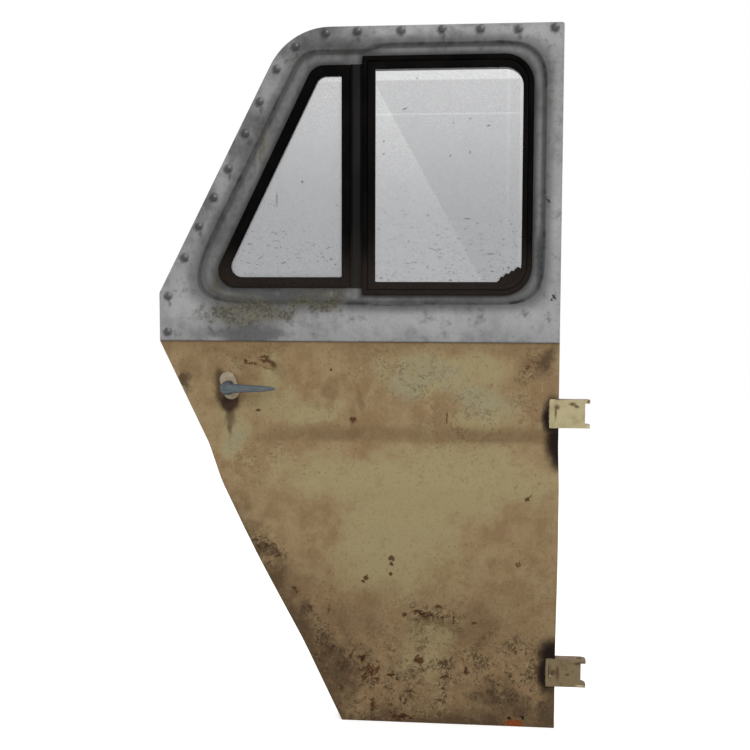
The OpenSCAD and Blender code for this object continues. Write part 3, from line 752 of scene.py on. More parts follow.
def body_paint(c):
    """Old khaki paint of the lower body, with stains, peeled chips, rust flecks, dirt and painted shadow at the hinges,
    dirt at the handle and painted shade along the belt seam.
    """
    m = material("body_paint")
    x, _, z = m.axes()
    ragged = m.wander(80 * MM, 70 * MM)
    fine = m.wander(5 * MM, 5.5 * MM)
    uneven = m.wander(20 * MM, 18 * MM)
    gentle = m.wander(26 * MM, 9 * MM)
    cloud = m.noise(110 * MM, 6, 0.66)
    blotch = m.noise(34 * MM, 6, 0.68)
    grain = m.noise(13 * MM, 5, 0.72)
    speck = m.noise(5 * MM, 3, 0.75)
    streak = m.noise(26 * MM, 4, 0.6, stretch=(1, 1, 0.2))
    grit = blotch.swing(1.3) + cloud.swing(1.0)
    outline = lower_outline(bpy.context.scene.van_door_sizes)
    edge = m.depth_inside([(0.5, Z_BOTTOM, 0), (0.5, Z_BELT, 0), *outline[2:]])
    # Stained tan, with the khaki of cleaner paint in the middle and below the crease
    m.base = m.mix(m.ramp(blotch + streak.swing(0.5), 0.34, 0.66), c.tan, c.pale_tan)
    khaki = m.ramp(m.spots(ragged, KHAKI_PATCHES, 1.0) + grit * 0.8, -0.1, 0.75)
    m.coat(khaki * 0.92, c.khaki)
    chalk = m.ramp(m.spots(ragged, CHALK_PATCHES, 1.0) + grit * 0.8, 0.1, 0.9)
    m.coat(chalk * 0.7, c.grey_khaki)
    m.coat(m.ramp(grain + streak.swing(0.4), 0.50, 0.70) * 0.4, c.tan)
    m.coat(m.ramp(grain, 0.44, 0.30) * 0.3, c.khaki)
    # Brown stains in patches, browner towards the foot and in bands above the crease and below the belt seam, then dirt
    # along the edges
    low = m.ramp(z + cloud.swing(0.25) + blotch.swing(0.10), 0.33, -0.06)
    brown = m.ramp(m.spots(ragged, BROWN_PATCHES, 1.0) + grit * 0.9, 0.2, 0.9) * 0.5
    brown = (brown + low * m.ramp(streak + grit * 0.35, 0.3, 0.7, 0.05, 0.5)).clamped()
    crease = m.ramp(z + grain.swing(0.006), 0.496, 0.474) * m.ramp(z + grain.swing(0.006), 0.452, 0.464)
    crease = crease * m.ramp(x, -0.66, -0.54) * m.ramp(cloud + grit * 0.2, 0.3, 0.6, 0.3, 0.62)
    belt = m.ramp(z + grain.swing(0.008), 0.606, 0.648) * m.ramp(cloud + grit * 0.2, 0.3, 0.6, 0.3, 0.6)
    m.coat(brown | crease | belt, c.brown)
    below_crease = m.spots(gentle, [(-424, 470, 26, 20), (-426, 500, 14, 40)], 1.0)
    m.coat(m.ramp(below_crease, 0.0, 0.8) * 0.55, c.brown)
    front = m.ramp(edge + blotch.swing(0.08) + cloud.swing(0.10), 0.048, -0.010) * m.ramp(z, 0.42, 0.25)
    foot = m.ramp(z + blotch.swing(0.06), -0.070, -0.100) * 0.5
    dirt = m.ramp(m.spots(ragged, DIRT_PATCHES, 1.0) + grit * 1.1 + grain.swing(0.5), 0.15, 1.0)
    m.coat((dirt | front | foot) * 0.85, c.dark_brown)
    # Cracks, flecks, chips and pale marks
    ridge = m.noise(24 * MM, 6, 0.75)
    crack = m.ramp((ridge - 0.5).math("ABSOLUTE"), 0.022, 0.0) * m.ramp(blotch, 0.42, 0.54)
    crack = crack * m.spots(ragged, CRACK_FIELDS, 0.7) * 0.85
    m.coat(crack, c.dark_brown)
    fields = m.spots(ragged, FLECK_FIELDS, 0.9)
    flakes = m.ramp(m.noise(16 * MM, 5, 0.8) + cloud.swing(0.5), 0.52, 0.62) * fields
    m.coat(flakes * 0.6, c.pale_tan)
    small = m.node("ShaderNodeTexNoise", {}, {
        "Vector": m.place, "Scale": 110, "Detail": 5.0, "Roughness": 0.75, "Distortion": 1.2
    })
    flecks = m.ramp(small + blotch.swing(0.6), 0.535, 0.59) * fields
    m.coat(flecks * 0.85, FLECK_SHADE)
    long = m.node("ShaderNodeTexNoise", {}, {
        "Vector": m.place, "Scale": 52, "Detail": 5.0, "Roughness": 0.7, "Distortion": 2.4
    })
    m.coat(m.ramp(long + blotch.swing(0.4), 0.59, 0.64) * fields * 0.75, c.fleck)
    m.coat(m.ramp(grain + speck.swing(0.6), 0.5, 0.75) * low * 0.35, c.dark_brown)
    red = m.ramp(m.spots(uneven, RED_CLUSTERS, 1.0) + small.swing(3.0), 0.45, 0.8)
    m.coat(red * 0.8, RED_SHADE)
    m.coat(m.ramp(m.spots(uneven, RED_CLUSTERS, 1.0) + long.swing(3.6), 0.6, 0.9) * 0.8, c.soot_and_shadow)
    bare = m.spots(fine, CHIPS, 0.35)
    m.coat(bare * 0.92, c.fleck)
    m.coat(m.spots(fine, CHIP_HEARTS, 0.4), c.tan)
    m.coat(m.spots(uneven, PALE_MARKS, 0.9) * 0.6, c.khaki)
    patch = m.ramp(m.spots(fine, [(-119, -76, 24, 15)], 1.0) + speck.swing(1.4), 0.1, 0.5)
    m.coat(patch, c.rust)
    m.coat(m.spots(fine, [(-104, -64, 5, 5), (-128, -66, 4, 4)], 0.5), c.soot_and_shadow)
    m.coat(m.ramp(speck, 0.5, 0.82) * 0.28, c.dark_brown)
    m.coat(m.ramp(speck, 0.48, 0.2) * 0.3, c.khaki)
    # Near-black dirt and painted shadow beside and below the hinges, with a brown fringe
    grime_and_shadow = m.spots(gentle, [(-46, 456, 34, 80), (-54, 506, 30, 66), (-46, 60, 46, 56), (-58, 24, 32, 64)], 1.0)
    grime_and_shadow = grime_and_shadow + grit * 0.06
    m.coat(m.ramp(grime_and_shadow, 0.0, 0.7) * 0.8, c.dark_brown)
    m.coat(m.ramp(grime_and_shadow, 0.08, 0.8), c.soot_and_shadow)
    # Handle: brown halo round the rose and a dark run below it
    halo = m.spots(gentle, [(-673, 562, 26, 46, 17), (-664, 546, 32, 34)], 1.0) + grit * 0.06
    m.coat(m.ramp(halo, 0.0, 0.6) * 0.85, c.dark_brown)
    run = m.spots(gentle, [(-660, 502, 18, 36), (-661, 484, 9, 34)], 1.0)
    m.coat(m.ramp(run, 0.0, 0.9) * 0.7, c.dark_brown)
    run = m.spots(gentle, [(-658, 526, 27, 32)], 1.0) + grit * 0.06
    m.coat(m.ramp(run, 0.05, 0.6) * 0.9, RUN_SHADE)
    # Painted shade along the belt seam, where the two sheets meet
    seam = m.ramp(z, Z_BELT - 4 * MM, Z_BELT - 0.5 * MM) * 0.5
    m.coat(seam, c.dark_brown)
    rough = m.ramp(cloud, 0.2, 0.8, 0.62, 0.82)
    normal = m.bump(m.noise(240 * MM, 2, 0.4), 0.3, 6 * MM)
    normal = m.bump(speck * 0.4 + blotch * 0.5, 0.45, 0.6 * MM, normal)
    return m.surface(0.1, Roughness=rough, Normal=normal)


def frame_paint(c):
    """Mottled grey paint of the window frame, with dirt and painted shade in the pressing, painted shade and highlights
    on the rivets with runs below some, and growth below.
    """
    m = material("frame_paint")
    sizes = bpy.context.scene.van_door_sizes
    x, y, z = m.axes()
    outside = m.ramp(y, 24 * MM, 16 * MM)
    ragged = m.wander(40 * MM, 30 * MM)
    fine = m.wander(6 * MM, 4 * MM)
    cloud = m.noise(130 * MM, 4, 0.55)
    mottle = m.noise(26 * MM, 5, 0.6)
    speck = m.noise(5 * MM, 4, 0.7)
    streak = m.noise(16 * MM, 4, 0.6, stretch=(1, 1, 0.16))
    # Both parts of the pressed step as one outline
    step = step_outline(sizes)
    sash = [step[0], step[1], (step[2][0], step[2][1], 24 * MM), (step[2][0], step[0][1], 0)]
    quarter = [(-0.3, step[0][1], 0), (-0.3, step[4][1], 0), step[4], step[5]]
    parts = {0: m.depth_inside(sash), 1: m.depth_inside(quarter), 2: 12 * MM}
    pan = m.node("ShaderNodeMath", {"operation": "SMOOTH_MAX"}, parts)
    # Base: dull at the top front corner, lighter at the foot and the hinge side; the lighter top of the hinge side is
    # painted light from the upper right
    tone = mottle * 0.5 + cloud * 0.35 + streak * 0.15
    m.base = m.mix(m.ramp(tone, 0.34, 0.60), c.mid_grey, c.light_grey)
    # Patches of clean paint, with painted light at the top of the hinge side
    clean = m.spots(ragged, [(-100, 1200, 120, 70), (-740, 720, 70, 90), (-300, 680, 260, 44),
        (-100, 690, 160, 60), (-56, 860, 40, 140), (-300, 1212, 160, 14)], 1.0)
    m.coat(clean * 0.8, CLEAN_AND_LIT_SHADE)
    dull = m.spots(ragged, [(-500, 1200, 90, 50, 20), (-560, 1180, 50, 30, -20), (-610, 1050, 50, 60, -28),
        (-450, 1190, 130, 24), (-706, 900, 20, 60, -26), (-636, 1000, 30, 80, -28)], 1.0)
    m.coat(dull * m.ramp(mottle, 0.3, 0.7, 1.0, 0.6), DULL_SHADE)
    # Pressed band: dark by the quarter light, greyer by the sash, with olive stains and upright runs
    by_quarter = m.ramp(x, -0.395, -0.45)
    shade = m.ramp(pan, 0.0, 6 * MM) * (by_quarter * 0.26 + 0.38) * m.ramp(tone, 0.4, 0.6, 1.0, 0.8) * outside
    m.coat(shade, c.dark_grey)
    olive = m.spots(ragged, [(-593, 1001, 14, 46, -28), (-680, 760, 22, 60, -20), (-655, 730, 40, 14),
        (-470, 738, 60, 10)], 1.0)
    m.coat(olive * 0.6, c.moss)
    runs = m.ramp(streak, 0.54, 0.66) * m.spots(ragged, [(-520, 736, 130, 22), (-610, 980, 18, 180, -26)], 0.8)
    m.coat(runs * 0.35, c.light_grey)
    # Painted shade along the pressed step: a soft dark line on its slope inside a broader soft band; dark reveal next
    # to the rubbers
    fall = m.ramp(pan, -22 * MM, -2 * MM) * m.ramp(pan, 12 * MM, 2 * MM) * (0.60 - by_quarter * 0.02)
    line = m.ramp(pan, -6 * MM, -1 * MM) * m.ramp(pan, 7 * MM, 1 * MM)
    line = line * m.ramp(mottle + streak * 0.4, 0.4, 0.75, 0.98, 0.78)
    m.coat((line | fall) * outside, STEP_SHADE)
    lip = inset(quarter_day(sizes), -sizes.seal_w)
    seal = m.depth_inside([(a, b, 30 * MM if r > 5 * MM else r) for a, b, r in lip])
    near = m.ramp(m.depth_inside(sash_outer()) | seal, -13 * MM, 0.0)
    m.coat(near * outside * 0.75, REVEAL_SHADE)
    # Rivets: painted shade as a dark crescent low on the left, a painted highlight as a pale cap on the right, and runs
    # below some
    rings = m.spots(fine, [(a - 2.4, b - 2.4, 12, 12) for a, b in RIVETS], 0.6)
    runs = m.spots(fine, [(a + 1, b - 15, 5, 14) for a, b in RIVETS[1::2]], 1.0) * 0.6
    m.coat(((rings * 0.8) | runs) * outside, c.dark_grey)
    rivet_highlights = m.spots(m.place, [(a + 2, b + 2, 4, 4) for a, b in RIVETS], 0.8)
    m.coat(rivet_highlights * 0.5, c.light_grey)
    # Growth and dirt under the quarter light
    growth = m.spots(ragged, [(-606, 696, 130, 38), (-500, 718, 110, 26), (-650, 692, 70, 38)], 1.0)
    growth = m.ramp(growth + mottle.swing(1.6), 0.0, 0.7) * outside
    m.coat(growth * 0.75, GROWTH_SHADE)
    grains = growth * m.ramp(speck + mottle.swing(0.8), 0.50, 0.60)
    m.coat(grains * 0.6, GRAIN_SHADE)
    m.coat(growth * m.ramp(speck + mottle.swing(0.5), 0.44, 0.36) * 0.35, PALE_GROWTH_SHADE)
    smudge = m.spots(ragged, [(-626, 658, 110, 34), (-560, 730, 120, 20)], 1.0)
    smudge = m.ramp(smudge + mottle.swing(1.2), 0.0, 0.8) * outside
    m.coat(smudge * 0.8, DULL_SHADE)
    # Painted shadow in the pressing beside the lower part of the sash on the hinge side, and small nicks
    recess_shadow = m.spots(fine, [(-84, 800, 10, 70, 3)], 0.8)
    nicks = m.spots(fine, [(-70, 903, 2.6, 8, 35), (-56, 728, 3, 7, 30), (-60, 722, 2, 5, -20)], 0.5)
    m.coat(recess_shadow * 0.8 | nicks, c.dark_grey)
    # Painted shade along the belt seam, where the two sheets meet
    seam = m.ramp(z, Z_BELT + 4 * MM, Z_BELT) * 0.5
    m.coat(seam, c.dark_grey)
    m.coat(m.ramp(speck, 0.5, 0.8) * 0.3, c.dark_grey)
    rough = m.ramp(mottle, 0.2, 0.8, 0.5, 0.72)
    normal = m.bump(m.noise(160 * MM, 2, 0.4), 0.3, 5 * MM)
    normal = m.bump(mottle * 0.6 + speck * 0.4, 0.35, 0.6 * MM, normal)
    return m.surface(0.25, Roughness=rough, Normal=normal)


def inner_paint(c):
    """Dull paint of the inner side, with streaks and light rust."""
    m = material("inner_paint")
    _, _, z = m.axes()
    cloud = m.noise(140 * MM, 5, 0.6)
    streak = m.noise(50 * MM, 4, 0.6, stretch=(1, 1, 0.15))
    speck = m.noise(7 * MM, 4, 0.7)
    m.base = m.mix(m.ramp(cloud, 0.3, 0.7), c.inner, c.khaki)
    m.coat(m.ramp(streak + speck * 0.3, 0.62, 0.85) * 0.5, c.brown)
    m.coat(m.ramp(z + cloud * 0.1, 0.05, -0.08) * 0.6, c.dark_brown)
    m.coat(m.ramp(speck, 0.72, 0.8) * 0.7, c.rust)
    rough = m.ramp(cloud, 0.2, 0.8, 0.55, 0.78)
    normal = m.bump(speck * 0.5 + cloud, 0.3, 0.6 * MM)
    return m.surface(0.25, Roughness=rough, Normal=normal)


def hinge_paint(name, paint, c, dirt, marks, bright):
    """Paint of a hinge, with rust stains at given places, among them the painted shade of a groove on the upper hinge
    and of a dent on the lower one, dirt in patches and worn, rusty edges.
    """
    m = material(name)
    cloud = m.noise(16 * MM, 4, 0.65)
    speck = m.noise(3 * MM, 3, 0.7)
    fine = m.wander(4 * MM, 1.6 * MM)
    m.base = m.mix(m.ramp(cloud, 0.3, 0.7) * 0.3, paint, c.khaki)
    m.coat(m.ramp(cloud + speck * 0.3, 0.62, 0.85) * dirt, c.dark_brown)
    normal = m.node("ShaderNodeNewGeometry", {}, {}, "Normal")
    upwards = m.ramp(m.axes(normal)[2], 0.5, 0.9) * m.ramp(cloud, 0.3, 0.6, 0.5, 0.95)
    m.coat(upwards, c.brown)
    m.coat(m.spots(fine, marks, 0.8) * 0.85, c.fleck)
    m.coat(m.spots(m.place, bright, 0.8) * 0.7, BARE_SHADE)
    m.coat(m.ramp(speck, 0.68, 0.8) * 0.4, c.rust)
    normal = m.bump(cloud + speck * 0.6, 0.45, 0.7 * MM)
    rough = m.ramp(cloud, 0.2, 0.8, 0.5, 0.75)
    return m.surface(0.25, Roughness=rough, Normal=normal)


def upper_hinge_paint(c):
    # The tall thin mark is painted shade of a groove that is not modelled
    marks = [(-50, 518, 3, 19), (-20, 532, 10, 5), (-13, 528, 9, 4, -20), (9, 537, 4, 5), (-48, 526, 7, 8)]
    return hinge_paint("upper_hinge_paint", c.hinge_tan, c, 0.2, marks, [(-57, 540, 5, 3), (9, 491, 6, 5)])


def lower_hinge_paint(c):
    # Some of these dark marks are painted shade of a dent that is not modelled
    marks = [(-48, 27, 8, 9, -40), (-40, 26, 6, 20), (0, 45, 20, 4), (-22, 24, 6, 4), (-56, 30, 3, 20)]
    return hinge_paint("lower_hinge_paint", c.hinge_brown, c, 0.55, marks, [(-53, 20, 3, 2, -40), (2, 3, 12, 3)])


def dusty_black(m, c, cloud, speck, low):
    """Black with warm dust in specks, thicker where low is 1."""
    dust = m.ramp(cloud + speck * 0.3, 0.55, 0.85) * 0.15 + low * m.ramp(speck, 0.3, 0.7, 0.5, 0.9)
    m.base = m.mix(dust.clamped(), c.rubber, c.warm_rubber)


def rubber(c):
    """Aged black rubber with brown dust along its foot."""
    m = material("rubber")
    _, _, z = m.axes()
    cloud = m.noise(60 * MM, 4, 0.6)
    speck = m.noise(4 * MM, 4, 0.7)
    dusty_black(m, c, cloud, speck, m.ramp(z + cloud * 0.08, 0.88, 0.79))
    rough = m.ramp(cloud, 0.2, 0.8, 0.55, 0.75)
    normal = m.bump(speck + cloud, 0.25, 0.4 * MM)
    return m.surface(0.02, Roughness=rough, Normal=normal)


def black_paint(c):
    """Worn black paint of the sash and the post, with upright wear marks and grey rubbed patches on the post."""
    m = material("black_paint")
    x, _, z = m.axes()
    cloud = m.noise(50 * MM, 4, 0.6, stretch=(1, 1, 0.25))
    speck = m.noise(3 * MM, 4, 0.7)
    dusty_black(m, c, cloud, speck, m.ramp(z + cloud * 0.1, 0.92, 0.79))
    low_post, high_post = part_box("division_post")
    middle = (low_post[0] + high_post[0]) / 2
    strip = m.ramp((x - middle).math("ABSOLUTE"), 8 * MM, 5 * MM) * m.ramp(cloud, 0.35, 0.6, 0.55, 1.0)
    m.coat(strip * 0.8, RUBBED_SHADE)
    rough = m.ramp(cloud, 0.2, 0.8, 0.4, 0.65)
    normal = m.bump(speck + cloud * 2, 0.25, 0.4 * MM)
    return m.surface(0.03, Roughness=rough, Normal=normal)


def steel(name, tint, c, worn=0.4):
    """Dull steel with fine lines, a purple tint and a few rust specks."""
    m = material(name)
    lines = m.noise(3 * MM, 4, 0.7, stretch=(0.15, 1, 1))
    cloud = m.noise(20 * MM, 4, 0.6)
    m.base = m.mix(m.ramp(cloud, 0.5, 0.62) * 0.7, tint, c.plum if worn < 0.3 else c.brown)
    m.coat(m.ramp(lines + cloud * 0.4, 0.45, 0.95) * worn, c.bright_steel)
    x, _, z = m.axes()
    over = m.ramp(((z - HANDLE.z).math("ABSOLUTE") + (x - HANDLE.x) * 0.05), 5 * MM, 10 * MM)
    m.coat(over * 0.55 * m.ramp(z, 0.5, 0.53), c.dark_grey)
    m.coat(m.ramp(cloud, 0.68, 0.8) * 0.6, c.rust)
    rough = m.ramp(lines, 0.2, 0.8, 0.42, 0.6)
    normal = m.bump(lines + cloud, 0.2, 0.3 * MM)
    return m.surface(0.25, Roughness=rough, Metallic=0.15, Normal=normal)


def rose_paint(c):
    """Worn pale paint of the rose, rusty at its rim."""
    m = material("escutcheon_paint")
    _, y, _ = m.axes()
    cloud = m.noise(9 * MM, 4, 0.65)
    speck = m.noise(2 * MM, 3, 0.7)
    rim = m.ramp(y, FACE_Y - 4.5 * MM, FACE_Y - 1.5 * MM)
    worn = (rim + m.ramp(cloud, 0.5, 0.75) * 0.6).clamped()
    m.base = m.mix(worn * 0.8, c.rose, c.brown)
    m.coat(m.ramp(speck, 0.66, 0.8) * 0.5, c.rust)
    normal = m.bump(cloud + speck * 0.5, 0.35, 0.5 * MM)
    rough = m.ramp(cloud, 0.2, 0.8, 0.4, 0.7)
    return m.surface(0.25, Roughness=rough, Normal=normal)


def haze_glass(c):
    """Hazy, scratched window glass: fine grain, dust specks and scratches, seen through to what is behind."""
    m = material("glass")
    x, _, z = m.axes()
    grain = m.noise(3.2 * MM, 4, 0.8)
    cloud = m.noise(180 * MM, 3, 0.6)
    low = m.ramp(z, 0.98, 0.80)
    specks = m.ramp(m.noise(4 * MM, 3, 0.75, stretch=(0.45, 1, 1)) + low * 0.035, 0.64, 0.70) * (low * 0.6 + 0.3)
    marks = [(-308, 1124, 2, 4, -35), (-330, 1070, 8, 2, 25), (-242, 1043, 2, 2), (-211, 1051, 3, 2),
        (-178, 1038, 7, 1.6, -8), (-247, 985, 3, 2, 30), (-211, 990, 2, 4, -20), (-369, 1012, 3, 2, 20),
        (-369, 989, 3, 2, 30), (-215, 870, 10, 1.6, 4), (-172, 806, 14, 1.4, 4), (-569, 908, 1.4, 20, -6),
        (-556, 1040, 2, 3), (-521, 940, 3, 3), (-600, 800, 12, 1.2, 30)]
    marks = m.spots(m.wander(6 * MM, 2 * MM), marks, 0.9)
    # The light falls in a slanted half, a band under the top rail, a line and a strip at the hinge side
    half = m.ramp(x * 0.876 + z * 0.482, 0.2015, 0.1995)
    top = m.ramp(z, 1.1195, 1.1225)
    line = m.ramp(z, 1.058, 1.059) * m.ramp(z, 1.062, 1.061) | m.ramp(x, -0.1225, -0.1205) * m.ramp(x, -0.1, -0.11)
    strip = m.ramp(x, -0.146, -0.1445) * m.ramp(x, -0.1385, -0.14)
    sash = m.ramp(x, -0.42, -0.41)
    bright = (half * 0.11 + line * 0.1 + strip * 0.04) * sash + top * (sash * 0.09 + 0.08)
    density = m.ramp(z, 0.82, 1.14, 0.72, 0.42) - bright + grain.swing(0.5) + cloud.swing(0.08)
    alpha = density + (specks | marks) * 0.3
    m.base = m.mix((specks | marks) * 0.85, c.haze, c.dark_grey)
    return m.surface(0.3, Roughness=0.15, Alpha=alpha.clamped(), IOR=1.5)


MAKERS = {
    "body_paint": body_paint,
    "frame_paint": frame_paint,
    "inner_paint": inner_paint,
    "upper_hinge_paint": upper_hinge_paint,
    "lower_hinge_paint": lower_hinge_paint,
    "rubber": rubber,
    "black_paint": black_paint,
    "lever_steel": lambda c: steel("lever_steel", c.steel, c, 0.25),
    "plain_steel": lambda c: steel("plain_steel", c.bright_steel, c),
    "escutcheon_paint": rose_paint,
    "glass": haze_glass,
}
FINISHES = {}


def finish(slot):
    """The material of a slot, made once."""
    if slot not in FINISHES:
        FINISHES[slot] = MAKERS[slot](bpy.context.scene.van_door_colours)
    return FINISHES[slot]


# Pieces


class PieceOperator:
    """What every operator of the door shares."""

    bl_options = {"REGISTER", "UNDO"}

    def execute(self, context):
        self.build(context.scene.van_door_sizes)
        return {"FINISHED"}


class VANDOOR_OT_lower_skin(PieceOperator, bpy.types.Operator):
    """Lower body: one sheet with its shoulder pressing, folded round all four edges, with drain and bolt slots."""

    bl_idname = "vandoor.lower_skin"
    bl_label = "Lower skin"

    def build(self, s):
        depth, bends = shoulder_profile(s)
        bolt_low, bolt_high = box("latch_bolt")
        play = 0.3 * MM
        inner = inset(lower_outline(s), s.fold)
        z0, z1 = inner[0][1], inner[1][1]
        slot_z = [bolt_low.z - play, bolt_high.z + play]
        slot_y = [bolt_low.y - FACE_Y - play, bolt_high.y - FACE_Y + play]
        half_drain = 12 * MM
        middles = [X_REAR - s.bottom_w * k / 4 for k in (1, 2, 3)]
        drains = [(x - half_drain, x + half_drain) for x in middles]
        drain_y = [12 * MM, 18 * MM]
        row_count, column_count = 52, 30
        even = [z0 + (z1 - z0) * k / row_count for k in range(row_count + 1)]
        levels = sorted({round(z, 6) for z in [*bends, *even, *slot_z] if z0 < z < z1} | {z0, z1})
        x_foot, x_end = inner[3][0], inner[0][0]
        at_drains = {(x - x_foot) / (x_end - x_foot) for drain in drains for x in drain}
        shares = sorted({k / column_count for k in range(column_count + 1)} | at_drains)
        form = Form()
        rows = []
        # The sheet is slightly uneven, less so towards its edges
        for z in levels:
            x_front = slant_x(inner, z)
            row = []
            for share in shares:
                x = x_front + (x_end - x_front) * share
                fade = math.sin(math.pi * share) * min(1, (z - z0) / 0.1, (z1 - z) / 0.1)
                wave = noise.noise(Vector((x * 4.2, z * 3.4, 1.7))) * 0.7 * MM * max(fade, 0)
                row.append((x, FACE_Y + depth(z) + wave, z))
            rows.append(form.add(row))
        for low, high in zip(rows, rows[1:]):
            for i in range(len(low) - 1):
                form.faces.append((low[i], low[i + 1], high[i + 1], high[i]))
        edge = rows[0] + [row[-1] for row in rows[1:]] + rows[-1][-2::-1] + [row[0] for row in rows[-2:0:-1]]
        normals = []
        for i in range(len(edge)):
            a, b, c = (form.points[edge[k]] for k in (i - 1, i, (i + 1) % len(edge)))
            u, v = unit((a.x, a.z), (b.x, b.z)), unit((b.x, b.z), (c.x, c.z))
            normals.append(-(left_of(u) + left_of(v)) / (1 + u.dot(v)))
        made = [edge]
        for angle in (22.5, 45, 67.5, 90):
            out = s.fold * math.sin(math.radians(angle))
            back = s.fold * (1 - math.cos(math.radians(angle)))
            face = [form.points[i] for i in edge]
            made.append(form.add([(p.x + n.x * out, p.y + back, p.z + n.y * out) for p, n in zip(face, normals)]))
        folded = [form.points[i] for i in made[-1]]
        made.extend(form.add([(p.x, FACE_Y + back, p.z) for p in folded]) for back in [*drain_y, *slot_y, LOWER_DEPTH])
        # Rings between which the side has the drain slots and the slot of the latch bolt
        drain_ring, bolt_ring = 5, 7
        for k, (near, far) in enumerate(zip(made, made[1:])):
            for i in range(len(edge)):
                j = (i + 1) % len(edge)
                a, b = form.points[far[i]], form.points[far[j]]
                x, z = (a.x + b.x) / 2, (a.z + b.z) / 2
                on_front = x < slant_x(inner, z) and Z_BOTTOM + 50 * MM < z < Z_BELT - 10 * MM
                in_bolt = k == bolt_ring and on_front and slot_z[0] < z < slot_z[1]
                on_foot = z < Z_BOTTOM + 0.5 * MM
                in_drain = k == drain_ring and on_foot and any(low < x < high for low, high in drains)
                if not (in_bolt or in_drain):
                    form.faces.append((far[i], far[j], near[j], near[i]))
        piece("lower_body_sheet", form, "body_paint", ["lower_skin"], sheet=s.sheet)


class VANDOOR_OT_upper_skin(PieceOperator, bpy.types.Operator):
    """Window frame: one sheet with the soft pressed step round both windows and the window hole."""

    bl_idname = "vandoor.upper_skin"
    bl_label = "Upper skin"

    def build(self, s):
        outline = upper_outline(s)
        form = Form()
        rings = [form.flat(rounded(outline), UPPER_DEPTH)]
        for angle in (90, 67.5, 45, 22.5, 0):
            out = s.fold * (1 - math.sin(math.radians(angle)))
            back = s.fold * (1 - math.cos(math.radians(angle)))
            rings.append(form.flat(rounded(inset(outline, out)), back))
        form.loft(rings)
        step = step_outline(s)
        spread = 2 * MM
        count = 10
        steps = []
        for k in range(count + 1):
            t = k / count
            offset = -spread + (s.step_slope + 2 * spread) * t
            steps.append(form.flat(rounded(inset(step, offset)), s.step_depth * ease(t)))
        form.loft(steps)
        form.between(rings[-1], steps[0])
        hole = form.flat(rounded(window_hole(s)), s.step_depth)
        form.between(steps[-1], hole)
        piece("window_frame_sheet", form, "frame_paint", ["upper_skin"], sheet=s.sheet)


class VANDOOR_OT_rivets(PieceOperator, bpy.types.Operator):
    """Dome rivets along the top, the windscreen edge and the nose."""

    bl_idname = "vandoor.rivets"
    bl_label = "Rivets"

    def build(self, s):
        form = Form()
        for k, (x, z) in enumerate(RIVETS):
            size = 1 + 0.06 * noise.noise(Vector((k * 1.7, 0.2, 0)))
            angles = [math.radians(angle) for angle in (0, 12, 25, 38, 52, 66, 78)]
            dome = [(s.rivet_r * size * math.cos(a), s.rivet_h * math.sin(a)) for a in angles]
            profile = [(s.rivet_r * size, -0.3 * MM), *dome]
            form.merge(turned(profile, 24), outwards(x * MM, z * MM))
        piece("frame_rivets", form, "frame_paint", sharp=50)


def ring_piece(name, rings, slot, stands_for, sharp=45):
    """A closed ring through outlines at depths, such as a window rubber: each ring is (points, depth)."""
    form = Form()
    form.loft([form.flat(points, depth) for points, depth in rings], joined=True)
    piece(name, form, slot, stands_for, sharp=sharp)


def part_way(a, b, share):
    """Points a share of the way from one outline to another."""
    return [(p[0] + (q[0] - p[0]) * share, p[1] + (q[1] - p[1]) * share) for p, q in zip(a, b)]


class VANDOOR_OT_quarter_light(PieceOperator, bpy.types.Operator):
    """Rubber round the quarter light, and its fixed glass."""

    bl_idname = "vandoor.quarter_light"
    bl_label = "Quarter light"

    def build(self, s):
        day = quarter_day(s)
        post_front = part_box("division_post")[0][0]
        lip = inset(day, -s.seal_w)
        lip = [
            (post_front, lip[0][1], 3 * MM), (post_front, lip[1][1], 3 * MM),
            (lip[2][0], lip[2][1], 32 * MM), (lip[3][0], lip[3][1], 32 * MM),
        ]
        hole = window_hole(s)
        web = post_front + WEB_INSET
        back = [(web, hole[0][1], 3 * MM), (web, hole[1][1], 3 * MM), hole[2], hole[3]]
        inner, outer, back_line = rounded(day), rounded(lip), rounded(back)
        grip = rounded(inset(day, -GRIP))
        glass_front, glass_back = (corner[1] - FACE_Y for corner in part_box("quarter_glass"))
        front = s.step_depth - 6 * MM
        section = [(0, 5.2), (0.02, 3.6), (0.07, 2.2), (0.15, 1.1), (0.28, 0.3), (0.42, 0.0), (0.6, 0.25), (0.78, 1.0),
            (0.9, 2.1), (0.97, 3.6), (1.0, 5.95)]
        rings = [(part_way(inner, outer, t), front + d * MM) for t, d in section]
        rings = [(inner, glass_front), *rings, (back_line, s.step_depth + 0.2 * MM), (back_line, glass_back + 5 * MM),
            (inner, glass_back + 5 * MM), (inner, glass_back), (grip, glass_back), (grip, glass_front)]
        rings.reverse()
        ring_piece("quarter_rubber", rings, "rubber", ["quarter_seal"])
        finish_node("quarter_glass", "glass")


